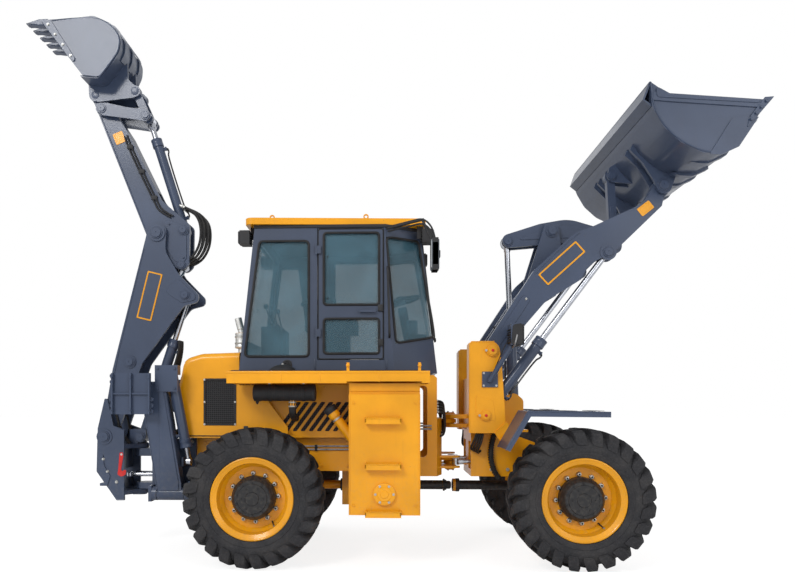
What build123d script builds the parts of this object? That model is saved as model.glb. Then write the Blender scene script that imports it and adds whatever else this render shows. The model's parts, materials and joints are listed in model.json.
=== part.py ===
"""Backhoe loader with a hinged frame: loader at the front, backhoe at the rear.

Lengths are millimetres.  +X is forwards, +Y is the machine's left, +Z is up.
Side outlines are drawn from the rear axle: x forward of that axle, z above the ground.
Each row of an outline is (x, z) or (x, z, corner radius).
"""
from build123d import *
from math import atan2, cos, degrees, radians, sin, sqrt
import os

# ---------------------------------------------------------------- driving dimensions
WHEELBASE = 2750
TRACK = 1780
REAR_AXLE_X = -950
FRAME_HINGE_X = 1740
TYRE_RADIUS = 595
TYRE_WIDTH = 410
FLANGE_RADIUS = 350
LUGS_PER_SIDE = 24
LUG_SIZE = (62, 190, 92)
LUG_SLANT = 32

# loader pins
ARM_FOOT = (2073, 1869)
ARM_TIP = (3585, 3336)
LIFT_BASE = (2014, 1287)
LIFT_EYE = (3111, 2754)
ROCKER_PIN = (2707, 3043)
ROCKER_REAR = (2294, 2958)
ROCKER_FRONT = (3320, 2900)
TILT_PIN = (3285, 3580)
TILT_BASE = (2360, 1420)
ARM_Y = 476
ARM_THICKNESS = 84

# backhoe pins
SWING_X = -1300
BOOM_FOOT = (-1588, 1076)
STICK_PIN = (-1109, 3054)
DIGGER_PIN = (-1723, 4414)
BOOM_RAM_BASE = (-1290, 1065)
BOOM_RAM_EYE = (-833, 2448)
STICK_RAM_BASE = (-1373, 1800)
STICK_RAM_EYE = (-883, 2751)
DIGGER_RAM_BASE = (-865, 3092)
DIGGER_RAM_EYE = (-1220, 4197)
CURL_ROCKER_PIN = (-1650, 4269)
CURL_LINK_PIN = (-1333, 4447)

# stabilisers: x, distance from the middle line, height
LEG_HINGE = (-800, 660, 590)
LEG_RAM_TOP = (-800, 662, 1690)
LEG_RAM_EYE = (-660, 600, 870)
FOOT_PIN = (-1107, 765, 1480)

# steering and swing cylinders: x, distance from the middle line, height
STEER_BASE = (2540, 190, 850)
STEER_EYE = (1775, 250, 850)
SWING_GLAND = (-1010, 60, 700)
SWING_EYE = (-1400, 60, 700)

# cab
CAB_HALF = 640
CAB_WALL = 36
CAB_FLOOR_Z = 1672
CAB_TOP_Z = 2988
DOOR_REAR_X = 506
DOOR_FRONT_X = 1104
DOOR_BOTTOM_Z = 1783
DOOR_TOP_Z = 2960
DOOR_AXIS_X = 498
DOOR_AXIS_Y = 656

PIN_PLAY = 0.5
FREE_PLAY = 6


# ---------------------------------------------------------------- shared shapes
def side(y=0.0):
    """Plane for a side outline at one distance from the middle line, facing right."""
    return Plane(origin=(REAR_AXLE_X, y, 0), x_dir=(1, 0, 0), z_dir=(0, -1, 0))


def level(z=0.0):
    """Plane for a plan outline at one height: x forward of the rear axle, y to the left."""
    return Plane(origin=(REAR_AXLE_X, 0, z), x_dir=(1, 0, 0), z_dir=(0, 0, 1))


def across(x=0.0):
    """Plane for an outline seen along the machine: y to the left, z above the ground."""
    return Plane(origin=(REAR_AXLE_X + x, 0, 0), x_dir=(0, 1, 0), z_dir=(1, 0, 0))


def slab(plane, rows, depth, mode=Mode.ADD):
    """Plate cut to a closed outline and raised from its plane."""
    corners = [row[:2] for row in rows]
    radii = [row[2] if len(row) > 2 else 0 for row in rows]
    with BuildSketch(plane) as face:
        with BuildLine():
            if any(radii):
                FilletPolyline(*corners, radius=radii, close=True)
            else:
                Polyline(*corners, close=True)
        make_face()
    extrude(face.sketch, amount=depth, mode=mode)


def plate(rows, y_inner, y_outer, mode=Mode.ADD):
    """Upright plate on the right-hand side, between two distances from the middle line."""
    slab(side(-y_inner), rows, y_outer - y_inner, mode)


def block(x_span, y_span, z_span, mode=Mode.ADD):
    """Square-cut piece between two limits along each axis."""
    spans = (x_span, y_span, z_span)
    middle = [(low + high) / 2 for low, high in spans]
    size = [high - low for low, high in spans]
    with Locations((REAR_AXLE_X + middle[0], middle[1], middle[2])):
        Box(*size, mode=mode)


def boss(pin, radius, y_inner, y_outer, mode=Mode.ADD):
    """Round boss, pin or bore across the machine on the right-hand side."""
    with BuildSketch(side(-y_inner)) as face:
        with Locations(pin):
            Circle(radius)
    extrude(face.sketch, amount=y_outer - y_inner, mode=mode)


def post(x, y, radius, z_low, z_high, mode=Mode.ADD):
    """Upright round pin, boss or bore."""
    with BuildSketch(level(z_low)) as face:
        with Locations((x, y)):
            Circle(radius)
    extrude(face.sketch, amount=z_high - z_low, mode=mode)


def rod_between(start, end, radius, mode=Mode.ADD):
    """Round bar between two points given from the rear axle."""
    foot = Vector(REAR_AXLE_X, 0, 0) + Vector(*start)
    tip = Vector(REAR_AXLE_X, 0, 0) + Vector(*end)
    with BuildSketch(Plane(origin=foot, z_dir=tip - foot)) as face:
        Circle(radius)
    extrude(face.sketch, amount=(tip - foot).length, mode=mode)


def point(pin, y):
    """Pin centre in the side view, set at one distance from the middle line."""
    return (pin[0], y, pin[1])


def along(start, end, distance):
    """Point at a distance from the start on the line to the end."""
    run = Vector(*end) - Vector(*start)
    spot = Vector(*start) + run.normalized() * distance
    return (spot.X, spot.Y, spot.Z)


def barrel(base, eye, length, radius, rod_radius, pin_radius, eye_half, eye_radius, axis="Y"):
    """Cylinder barrel: base eye, tube, raised gland, and the bore that the rod slides in."""
    rod_between(base, along(base, eye, length), radius)
    rod_between(along(base, eye, length - 70), along(base, eye, length), radius + 7)
    rod_between(along(base, eye, eye_radius + 12), along(base, eye, length + 1),
                rod_radius + 1, mode=Mode.SUBTRACT)
    cross_eye(base, eye_radius, eye_half, pin_radius, axis)


def ram_rod(base, eye, length, radius, pin_radius, eye_half, eye_radius, axis="Y"):
    """Piston rod with the eye at its outer end."""
    rod_between(along(eye, base, length), along(eye, base, eye_radius - 8), radius)
    if eye_half > radius + 4:
        rod_between(along(eye, base, eye_radius + 34), along(eye, base, eye_radius - 12), eye_half - 1)
    cross_eye(eye, eye_radius, eye_half, pin_radius, axis)


def cross_eye(centre, radius, half_width, pin_radius, axis):
    """Bored eye whose pin runs along one axis; the bore is cut past both faces."""
    pin = Vector(*centre)
    way = {"X": Vector(1, 0, 0), "Y": Vector(0, 1, 0), "Z": Vector(0, 0, 1)}[axis]
    rod_between(pin - way * half_width, pin + way * half_width, radius)
    rod_between(pin - way * (half_width + 12), pin + way * (half_width + 12), pin_radius + PIN_PLAY,
                mode=Mode.SUBTRACT)


def spin_about_axle(rows, x, z):
    """Ring turned about an axle line that crosses the machine; rows are (y, radius)."""
    plane = Plane(origin=(REAR_AXLE_X + x, 0, z), x_dir=(0, 1, 0), z_dir=(1, 0, 0))
    with BuildSketch(plane) as face:
        with BuildLine():
            Polyline(*rows, close=True)
        make_face()
    revolve(face.sketch, axis=Axis((REAR_AXLE_X + x, 0, z), (0, 1, 0)))


def save(piece, name):
    """Label a finished piece and write its STEP file."""
    piece.part.label = name
    export_step(piece.part, f"parts/{name}.step")


os.makedirs("parts", exist_ok=True)

# ---------------------------------------------------------------- wheels
AXLE_Z = TYRE_RADIUS
HALF_TRACK = TRACK / 2
WHEELS = {
    # name: (x of the axle, side of the machine)
    "rear_right": (0, -1),
    "rear_left": (0, 1),
    "front_right": (WHEELBASE, -1),
    "front_left": (WHEELBASE, 1),
}
TYRE_SECTION = [
    # (distance from the wheel's middle plane, radius)
    (-146, 324), (-152, 354), (-188, 358), (-203, 400), (-205, 470), (-190, 528), (-150, 561),
    (150, 561), (190, 528), (205, 470), (203, 400), (188, 358), (152, 354), (146, 324),
]

# the flat top of a lug reaches the tyre's full radius at its two far corners
LUG_REACH = (LUG_SIZE[0] * cos(radians(LUG_SLANT)) + LUG_SIZE[1] * sin(radians(LUG_SLANT))) / 2
LUG_TOP = sqrt(TYRE_RADIUS ** 2 - LUG_REACH ** 2)
LUG_CORNER = degrees(atan2(LUG_REACH, LUG_TOP))

for name, (axle_x, hand) in WHEELS.items():
    middle = hand * HALF_TRACK
    with BuildPart() as tyre:
        spin_about_axle([(middle + offset, radius) for offset, radius in TYRE_SECTION], axle_x, AXLE_Z)
        for row in (-1, 1):
            centre = Location((REAR_AXLE_X + axle_x, middle, AXLE_Z))
            lug = Location((0, row * 97, LUG_TOP - LUG_SIZE[2] / 2), (0, 0, -row * LUG_SLANT))
            turns = [index * 360 / LUGS_PER_SIDE + LUG_CORNER + (row + 1) * 90 / LUGS_PER_SIDE
                     for index in range(LUGS_PER_SIDE)]
            with Locations(*[centre * Location((0, 0, 0), (0, turn, 0)) * lug for turn in turns]):
                Box(*LUG_SIZE)
    save(tyre, f"tyre_{name}")

    RIM_SECTION = [
        # (distance outwards from the wheel's middle plane, radius): barrel, dish and centre disc
        (-175, FLANGE_RADIUS), (-160, FLANGE_RADIUS), (-148, 320), (148, 320), (160, FLANGE_RADIUS),
        (175, FLANGE_RADIUS), (178, 335), (160, 300), (70, 292), (40, 262), (34, 262), (34, 60),
        (10, 60), (10, 285), (-120, 300), (-165, 318),
    ]
    with BuildPart() as rim:
        spin_about_axle([(middle + hand * out, radius) for out, radius in RIM_SECTION], axle_x, AXLE_Z)
        spin_about_axle([(middle + hand * out, radius) for out, radius in
                         [(34, 0), (34, 182), (110, 176), (150, 150), (158, 60), (158, 0)]],
                        axle_x, AXLE_Z)
    save(rim, f"rim_{name}")

# ---------------------------------------------------------------- rear frame
RAIL_INNER = 380
RAIL_OUTER = 402
RAIL = [(-640, 770), (-640, 1075), (900, 1075), (1100, 1250), (1100, 1657), (1560, 1657),
        (1589, 1630), (1589, 724), (1000, 724, 60), (760, 770)]
NOSE = [(1567, -402), (1589, -402), (1645, -230), (1645, 230), (1589, 402), (1567, 402)]
NOSE_HOLLOW = [(1560, -378), (1575, -378), (1620, -215), (1620, 215), (1575, 378), (1560, 378)]
REAR_EARS = [
    # (underside, top) of each plate that reaches the frame hinge
    (1206, 1244), (850, 884), (772, 806),
]
EAR_PLAN = [(1600, -190), (1660, -120), (1740, -88), (1828, 0, 60), (1740, 88), (1660, 120), (1600, 190)]

with BuildPart() as rear_frame:
    plate(RAIL, RAIL_INNER, RAIL_OUTER)
    plate([(1330, 900, 40), (1330, 1560, 40), (1500, 1560, 40), (1500, 900, 40)], RAIL_INNER, RAIL_OUTER,
          mode=Mode.SUBTRACT)
    mirror(about=Plane.XZ)
    slab(level(724), NOSE, 533)
    slab(level(745), NOSE_HOLLOW, 490, mode=Mode.SUBTRACT)
    for low, high in REAR_EARS:
        slab(level(low), EAR_PLAN, high - low)
    for low, high in ((888, 906), (790, 808)):
        for hand in (-1, 1):
            slab(level(low), [(1600, hand * 300), (1600, hand * 170), (1730, hand * 195), (1795, hand * 215),
                              (1815, hand * 250), (1795, hand * 285), (1730, hand * 300)], high - low)
    for x_span, z_span in (((-640, -615), (770, 1075)), ((560, 600), (780, 860)), ((1086, 1112), (780, 1657))):
        block(x_span, (-RAIL_INNER, RAIL_INNER), z_span)
    block((1000, 1567), (-RAIL_INNER, RAIL_INNER), (1637, 1657))
    for low, high in REAR_EARS:
        post(FRAME_HINGE_X, 0, 45, low, high, mode=Mode.SUBTRACT)
save(rear_frame, "rear_frame")

# ---------------------------------------------------------------- power train and rear axle
AXLE_HOUSING = [
    # (distance from the middle line, radius)
    (60, 205), (130, 180), (190, 120), (560, 95), (600, 150), (690, 165), (860, 165), (860, 0),
]


def axle(x):
    """Axle housing with its centre casing and the end housings inside the wheels."""
    right_half = [(-y, radius) for y, radius in reversed(AXLE_HOUSING)]
    spin_about_axle(right_half + AXLE_HOUSING, x, AXLE_Z)
    for hand in (-1, 1):
        block((x - 110, x + 110), tuple(sorted((hand * 250, hand * 420))), (AXLE_Z + 60, 715))


with BuildPart() as power_train:
    axle(0)
    block((-90, 90), (-402, 402), (714, 769))
    rod_between((180, 0, 600), (700, 0, 600), 42)
    block((700, 1060), (-190, 190), (430, 900))
    rod_between((1060, 0, 600), (1700, 0, 600), 42)
    block((-560, 260), (-250, 250), (870, 1560))
save(power_train, "power_train")

with BuildPart() as front_axle:
    axle(WHEELBASE)
    rod_between((1790, 0, 600), (2570, 0, 600), 42)
    rod_between((1770, 0, 600), (1800, 0, 600), 62)
save(front_axle, "front_axle")

# ---------------------------------------------------------------- rear bodywork
HOOD_SIDE = [(-745, 1083), (-825, 1307, 260), (-728, 1800, 120), (-560, 1850, 200), (-212, 1862),
             (-212, 1560), (-60, 1560), (230, 1180), (230, 1083)]
HOOD_HALF = 560
HOOD_SKIN = 22
GRILLE = (-519, -257, 1213, 1604)
LOUVRE_PANEL = [(-60, 1083), (-60, 1566), (806, 1566), (806, 1083)]
LOUVRES = 9
LOUVRE_PITCH = 74
LOUVRE_RUN = 250

with BuildPart() as hood:
    with BuildSketch(side(HOOD_HALF)) as outline:
        with BuildLine():
            FilletPolyline(*[row[:2] for row in HOOD_SIDE], close=True,
                           radius=[row[2] if len(row) > 2 else 0 for row in HOOD_SIDE])
        make_face()
    extrude(outline.sketch, amount=2 * HOOD_HALF)
    upper = hood.edges().filter_by(lambda e: abs(abs(e.center().Y) - HOOD_HALF) < 1
                                   and e.center().X < REAR_AXLE_X - 250 and e.center().Z > 1100)
    fillet(upper, 55)
    block((-760, 240), (-HOOD_HALF + HOOD_SKIN, HOOD_HALF - HOOD_SKIN), (1080, 1770), mode=Mode.SUBTRACT)
    block(GRILLE[:2], (-HOOD_HALF - 5, HOOD_HALF + 5), GRILLE[2:], mode=Mode.SUBTRACT)
    plate(LOUVRE_PANEL, 478, 490)
    for index in range(LOUVRES):
        x = 120 + index * LOUVRE_PITCH
        plate([(x, 1150), (x + 22, 1150), (x + 22 + LOUVRE_RUN * 0.75, 1150 + LOUVRE_RUN),
               (x + LOUVRE_RUN * 0.75, 1150 + LOUVRE_RUN)], 470, 500, mode=Mode.SUBTRACT)
    plate([(-60, 1083), (-60, 1566), (-48, 1566), (-48, 1083)], 478, 545)
    for bar_z in range(GRILLE[2] + 16, GRILLE[3] - 20, 34):
        block((GRILLE[0] - 2, GRILLE[1] + 2), (-550, -538), (bar_z, bar_z + 18))
    for index in range(1, 4):
        bar_x = GRILLE[0] + index * (GRILLE[1] - GRILLE[0]) / 4
        block((bar_x - 5, bar_x + 5), (-552, -538), (GRILLE[2] - 2, GRILLE[3] + 2))
    mirror(about=Plane.XZ)
    post(-235, -330, 26, 1855, 1960)
    post(-235, -330, 60, 1930, 2055)
save(hood, "hood")

# ---------------------------------------------------------------- walkways, tank and steps
WALK_TOP = 1669
WALK_OUTER = 1000
STEP_HEIGHTS = [1223, 842, 446]

with BuildPart() as walkways:
    block((-227, 1489), (-WALK_OUTER, -645), (WALK_TOP - 14, WALK_TOP))
    block((-227, 1489), (-WALK_OUTER, -WALK_OUTER + 14), (1566, WALK_TOP))
    block((-227, -213), (-WALK_OUTER, -645), (1566, WALK_TOP))
    block((1475, 1489), (-WALK_OUTER, -645), (1566, WALK_TOP))
    block((-227, 1489), (-659, -645), (1566, WALK_TOP))
    block((60, 100), (-645, -491), (1580, WALK_TOP - 20))
    block((1120, 1160), (-645, -403), (1580, WALK_TOP - 20))
    for peg_x in (790, 1390):
        block((peg_x, peg_x + 24), (-WALK_OUTER, -WALK_OUTER + 14), (WALK_TOP, WALK_TOP + 70))
    plate([(808, 457), (808, 1565), (1408, 1565), (1408, 457)], 500, WALK_OUTER)
    plate([(790, 1470), (790, 1580), (1420, 1580), (1420, 1470)], WALK_OUTER - 60, WALK_OUTER + 10,
          mode=Mode.SUBTRACT)
    for step_z in STEP_HEIGHTS:
        block((948, 1247), (-WALK_OUTER - 75, -WALK_OUTER), (step_z, step_z + 14))
        block((948, 1247), (-WALK_OUTER - 75, -WALK_OUTER - 61), (step_z, step_z + 45))
    boss((1108, 635), 92, WALK_OUTER - 5, WALK_OUTER + 22)
    rod_between((820, -760, 1090), (665, -760, 1300), 42)
    rod_between((680, -760, 1280), (645, -760, 1327), 52)
    block((1200, 1240), (-500, -403), (900, 1100))
    block((980, 1020), (-500, -403), (900, 1000))
    mirror(about=Plane.XZ)
    rod_between((-20, -750, 1490), (500, -750, 1490), 72)
    rod_between((-37, -750, 1490), (60, -750, 1490), 62)
    rod_between((300, -750, 1420), (300, -750, 1370), 30)
    for strap_x in (80, 380):
        block((strap_x, strap_x + 40), (-770, -730), (1550, 1660))
save(walkways, "walkways_and_tanks")

# ---------------------------------------------------------------- cab
CAB_PLAN_LOW = [
    (-199, -CAB_HALF), (1192, -CAB_HALF), (1592, -380), (1592, 380), (1192, CAB_HALF), (-199, CAB_HALF),
]
CAB_PLAN_TOP = [
    (-54, -CAB_HALF), (1110, -CAB_HALF), (1435, -429), (1435, 429), (1110, CAB_HALF), (-54, CAB_HALF),
]
SIDE_WINDOW = [(-12, 2845, 40), (431, 2845, 40), (431, 1815, 40), (-146, 1815, 40)]
FRONT_QUARTER = [(1120, 2880), (1420, 2880), (1572, 2000), (1205, 1925)]
DOORWAY_WINDOW = [(563, 1823, 30), (1050, 1823, 30), (1050, 2900, 30), (563, 2900, 30)]
DOOR_PANES = [
    # (lower edge, upper edge) of each pane
    (1840, 2150), (2275, 2915),
]
WINDSCREEN = [(-355, 1990), (355, 1990), (385, 2890), (-385, 2890)]
REAR_WINDOW = [(-540, 1960), (540, 1960), (540, 2870), (-540, 2870)]


def door_pane(low, high, y_inner, y_outer, mode=Mode.ADD):
    """Rounded pane of the door, or the opening for it, between two heights."""
    plate([(566, low, 30), (1058, low, 30), (1058, high, 30), (566, high, 30)], y_inner, y_outer, mode)


def cab_block(gap, z_low, z_high, mode=Mode.ADD):
    """Body of the cab inside its outer faces by a gap, between two heights."""
    faces = []
    for rows, z in ((CAB_PLAN_LOW, z_low), (CAB_PLAN_TOP, z_high)):
        with BuildSketch(level(z)) as shape:
            with BuildLine():
                Polyline(*rows, close=True)
            make_face()
            if gap:
                offset(amount=-gap, kind=Kind.INTERSECTION, mode=Mode.REPLACE)
        faces.append(shape.sketch.face())
    loft(faces, mode=mode)


with BuildPart() as cab_shell:
    cab_block(0, CAB_FLOOR_Z, CAB_TOP_Z)
    cab_block(CAB_WALL, CAB_FLOOR_Z + 40, CAB_TOP_Z + 1, mode=Mode.SUBTRACT)
    slab(side(CAB_HALF + 10), SIDE_WINDOW, 2 * CAB_HALF + 20, mode=Mode.SUBTRACT)
    plate([(DOOR_REAR_X, DOOR_BOTTOM_Z), (DOOR_FRONT_X, DOOR_BOTTOM_Z), (DOOR_FRONT_X, DOOR_TOP_Z),
           (DOOR_REAR_X, DOOR_TOP_Z)], CAB_HALF - 80, CAB_HALF + 10, mode=Mode.SUBTRACT)
    slab(side(CAB_HALF + 10), DOORWAY_WINDOW, 80, mode=Mode.SUBTRACT)
    slab(side(CAB_HALF + 10), FRONT_QUARTER, 2 * CAB_HALF + 20, mode=Mode.SUBTRACT)
    slab(across(1300), WINDSCREEN, 400, mode=Mode.SUBTRACT)
    slab(across(-300), REAR_WINDOW, 400, mode=Mode.SUBTRACT)
save(cab_shell, "cab_shell")

with BuildPart() as cab_glass:
    cab_block(15, CAB_FLOOR_Z + 60, CAB_TOP_Z - 4)
    cab_block(21, CAB_FLOOR_Z + 50, CAB_TOP_Z, mode=Mode.SUBTRACT)
    with BuildPart(mode=Mode.PRIVATE) as panes:
        slab(side(CAB_HALF + 10), SIDE_WINDOW, 2 * CAB_HALF + 20)
        slab(side(CAB_HALF + 10), DOORWAY_WINDOW, 80)
        slab(side(CAB_HALF + 10), FRONT_QUARTER, 2 * CAB_HALF + 20)
        slab(across(1300), WINDSCREEN, 400)
        slab(across(-300), REAR_WINDOW, 400)
    add(panes.part, mode=Mode.INTERSECT)
save(cab_glass, "cab_glass")

# lifting eyes on the roof
EYE_PLACES = (90, 940)
EYE_HEIGHT = 3078
EYE_BORE = 13

with BuildPart() as cab_roof:
    slab(level(2990), [(-136, -690, 60), (1477, -600, 60), (1477, 600, 60), (-136, 690, 60)], 55)
    for eye_x in EYE_PLACES:
        for eye_y in (-560, 560):
            post(eye_x, eye_y, 12, 3044, 3062)
            cross_eye((eye_x, eye_y, EYE_HEIGHT), 24, 7, EYE_BORE - PIN_PLAY, "Y")
    post(330, -300, 45, 3044, 3075)
save(cab_roof, "cab_roof")

with BuildPart() as door:
    rear, front = DOOR_REAR_X + FREE_PLAY, DOOR_FRONT_X - FREE_PLAY
    bottom, top = DOOR_BOTTOM_Z + FREE_PLAY, DOOR_TOP_Z - FREE_PLAY
    plate([(rear, bottom), (front, bottom), (front, top), (rear, top)], CAB_HALF - CAB_WALL, CAB_HALF)
    for low, high in DOOR_PANES:
        door_pane(low, high, CAB_HALF - 50, CAB_HALF + 5, mode=Mode.SUBTRACT)
    block((880, 1030), (-CAB_HALF - 34, -CAB_HALF - 20), (2205, 2225))
    for x in (885, 1015):
        block((x, x + 12), (-CAB_HALF - 30, -CAB_HALF), (2205, 2225))
    for low in (1990, 2730):
        block((DOOR_REAR_X + 10, DOOR_REAR_X + 34), (-CAB_HALF - 20, -CAB_HALF), (low, low + 70))
        post(DOOR_AXIS_X, -DOOR_AXIS_Y, 9, low - 10, low + 80)
        block((DOOR_AXIS_X, DOOR_REAR_X + 34), (-CAB_HALF - 21, -CAB_HALF - 11), (low, low + 70))
save(door, "cab_door")

with BuildPart() as door_glass:
    for low, high in DOOR_PANES:
        door_pane(low, high, CAB_HALF - 21, CAB_HALF - 15)
save(door_glass, "door_glass")

with BuildPart() as controls:
    rod_between((1395, 0, CAB_FLOOR_Z + 62), (1275, 0, 2330), 45)
    with BuildPart(Plane(origin=(REAR_AXLE_X + 1262, 0, 2390), z_dir=(-0.25, 0, 1)), mode=Mode.PRIVATE) as wheel:
        Torus(185, 15)
        Box(360, 30, 14)
        Cylinder(45, 60)
    add(wheel.part)
    block((1330, 1500), (-230, 230), (CAB_FLOOR_Z + 41, 2050))
    block((380, 700), (330, 560), (CAB_FLOOR_Z + 41, 2200))
    block((-60, 120), (-300, -120), (CAB_FLOOR_Z + 41, 2120))
    block((-60, 120), (120, 300), (CAB_FLOOR_Z + 41, 2120))
    block((420, 760), (-200, 200), (CAB_FLOOR_Z + 41, 2080))
    block((350, 840), (-245, 245), (2080, 2200))
    plate([(345, 2206), (465, 2206), (390, 2760, 50), (270, 2760, 50)], -235, 235)
save(controls, "cab_interior")

# ---------------------------------------------------------------- lamps and mirrors on the cab
with BuildPart() as cab_lamps:
    for x, y, z in ((-150, 560, 2890), (1490, 520, 2900)):
        for hand in (-1, 1):
            block((x - 45, x + 45), tuple(sorted((hand * (y - 70), hand * (y + 70)))), (z - 60, z + 60))
    for x_span in ((-110, -72), (1400, 1450)):
        for hand in (-1, 1):
            block(x_span, tuple(sorted((hand * 535, hand * 545))), (2880, 2989))
    for hand in (-1, 1):
        rod_between((1130, hand * 641, 2950), (1440, hand * 900, 2960), 11)
        rod_between((1430, hand * 892, 2960), (1545, hand * 905, 2700), 11)
        block((1510, 1560), tuple(sorted((hand * 830, hand * 1000))), (2519, 2785))
save(cab_lamps, "cab_lamps_and_mirrors")

# ---------------------------------------------------------------- front frame
TOWER = [(1865, 1129), (1865, 1930, 20), (1885, 1954), (2130, 1954, 90), (2160, 1700), (2196, 1129)]
TOWER_FACES = [(380, 400), (536, 560)]
FRONT_WEB = [(1910, 716), (1910, 1129), (2240, 1129), (2480, 1040, 80), (2980, 860, 60), (2980, 716)]
FRONT_EARS = [(1250, 1290), (1164, 1200), (812, 842)]
FRONT_EAR_PLAN = [(1912, -130), (1850, -112), (1740, -84), (1656, 0, 60), (1740, 84), (1850, 112), (1912, 130)]

with BuildPart() as front_frame:
    plate(FRONT_WEB, 290, 314)
    for inner, outer in TOWER_FACES:
        plate(TOWER, inner, outer)
    block((1865, 1887), (-560, -380), (1150, 1930))
    block((1865, 2196), (-560, -380), (1129, 1150))
    plate([(2090, 1130), (2196, 1230), (2250, 1140), (2215, 1075), (2150, 1040)], 560, 584)
    plate([(2131, 1044), (2172, 1114), (2190, 1104), (2150, 1034)], 560, 900)
    boss(ARM_FOOT, 55, 560, 572)
    boss(LIFT_BASE, 50, 560, 572)
    boss(ARM_FOOT, 38, 390, 545)
    boss(LIFT_BASE, 34, 390, 545)
    plate([(2120, 1150), (2265, 1465, 60), (2360, 1500, 60), (2440, 1430, 60), (2440, 1150)], 62, 86)
    boss(TILT_BASE, 33, 0, 75)
    block((2400, 2960), (-300, -212), (718, 734))
    mirror(about=Plane.XZ)
    block((1890, 2440), (-314, 314), (1129, 1150))
    block((1910, 1932), (-390, 390), (1129, 1640))
    block((1910, 1932), (-314, 314), (1040, 1150))
    block((1910, 1932), (-314, 314), (716, 780))
    block((1910, 1932), (-110, 110), (780, 1040))
    for low, high in FRONT_EARS:
        slab(level(low), FRONT_EAR_PLAN, high - low)
    post(FRAME_HINGE_X, 0, 44.5, 1164, 1290)
    post(FRAME_HINGE_X, 0, 44.5, 776, 880)
    for hand in (-1, 1):
        for low, high in ((794, 812), (888, 906)):
            block((2480, 2600), tuple(sorted((hand * 150, hand * 292))), (low, high))
        post(STEER_BASE[0], hand * STEER_BASE[1], 22, 800, 900)
save(front_frame, "front_frame")

FENDER = [(2112, 1014), (2290, 1319), (2960, 1311), (2960, 1323), (2283, 1331), (2101, 1020)]

with BuildPart() as fenders:
    plate(FENDER, 650, 1080)
    plate([(2112, 1014), (2290, 1319), (2960, 1311), (2960, 1280), (2310, 1286), (2140, 998)], 1070, 1080)
    mirror(about=Plane.XZ)
    for hand in (-1, 1):
        block((1980, 2120), tuple(sorted((hand * 561, hand * 572))), (1540, 1680))
        rod_between((2050, hand * 566, 1600), (2050, hand * 600, 1600), 22)
        rod_between((2040, hand * 592, 1590), (2220, hand * 690, 1900), 22)
        block((2200, 2300), tuple(sorted((hand * 610, hand * 790))), (1900, 2085))
save(fenders, "fenders_and_work_lamps")

# ---------------------------------------------------------------- loader
ARM_OUTLINE = [
    (1985, 1800, 60), (1978, 1920, 60), (2042, 1966), (2452, 2595, 300), (2821, 2932, 200), (2980, 2987),
    (3326, 3142, 120), (3435, 3203, 200), (3518, 3370, 60), (3580, 3425, 60), (3655, 3400, 60),
    (3668, 3310, 60), (3601, 3233), (3585, 3162), (3168, 2758), (2990, 2668), (2918, 2604), (2870, 2508),
    (2558, 2317, 300),
    (2374, 2103, 200), (2160, 1800, 60), (2060, 1765, 60),
]
ARM_INNER = ARM_Y - ARM_THICKNESS / 2
ARM_OUTER = ARM_Y + ARM_THICKNESS / 2
LIFT_SLOT = [(60, 60), (95, -40), (-120, -330), (-370, -380), (-110, 60)]
CROSS_TUBE = (2650, 2620)
ROCKER_BRACKET = [(2640, 3120, 50), (2765, 3125, 50), (2800, 2760), (2760, 2560), (2500, 2520), (2478, 2600)]

with BuildPart() as loader_arms:
    plate(ARM_OUTLINE, ARM_INNER, ARM_OUTER)
    boss(ARM_FOOT, 92, 406, 530)
    boss(LIFT_EYE, 74, ARM_INNER - 6, ARM_OUTER + 6)
    plate([(LIFT_EYE[0] + x, LIFT_EYE[1] + z) for x, z in LIFT_SLOT], ARM_Y - 35, ARM_Y + 35,
          mode=Mode.SUBTRACT)
    boss((LIFT_EYE[0] - 15, LIFT_EYE[1] + 30), 125, ARM_Y - 35, ARM_Y + 35, mode=Mode.SUBTRACT)
    boss(ARM_FOOT, 38 + PIN_PLAY, 400, 540, mode=Mode.SUBTRACT)
    boss(CROSS_TUBE, 95, 0, ARM_INNER)
    plate(ROCKER_BRACKET, 100, 124)
    boss(ROCKER_PIN, 62, 100, 132)
    boss(ROCKER_PIN, 36, 84, 126)
    boss(ARM_TIP, 38 + PIN_PLAY, 380, 560, mode=Mode.SUBTRACT)
    mirror(about=Plane.XZ)
save(loader_arms, "loader_arms")

ROCKER = [
    (2226, 2958, 62), (2262, 3020, 62), (2600, 3125), (2872, 3170, 400), (3150, 3085, 300), (3385, 2940, 60),
    (3370, 2840, 60), (3270, 2832, 60), (3000, 2940, 300), (2790, 2935), (2560, 2918), (2290, 2897, 58),
]

with BuildPart() as rocker:
    plate(ROCKER, 44, 72)
    boss(ROCKER_PIN, 88, 0, 92)
    plate([(2600, 3000), (2780, 2960), (3080, 3000), (3060, 3070), (2872, 3120), (2620, 3095)], 0, 50)
    boss(ROCKER_PIN, 36 + PIN_PLAY, -1, 140, mode=Mode.SUBTRACT)
    mirror(about=Plane.XZ)
save(rocker, "tilt_rocker")

with BuildPart() as tilt_link:
    plate([(ROCKER_FRONT[0] - 38, ROCKER_FRONT[1]), (ROCKER_FRONT[0] + 38, ROCKER_FRONT[1]),
           (TILT_PIN[0] + 38, TILT_PIN[1]), (TILT_PIN[0] - 38, TILT_PIN[1])], -34, 34)
    for pin in (ROCKER_FRONT, TILT_PIN):
        boss(pin, 56, -36, 36)
    boss(ROCKER_FRONT, 32, -40, 40, mode=Mode.SUBTRACT)
    boss(TILT_PIN, 32 + PIN_PLAY, -40, 40, mode=Mode.SUBTRACT)
save(tilt_link, "tilt_link")

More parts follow.
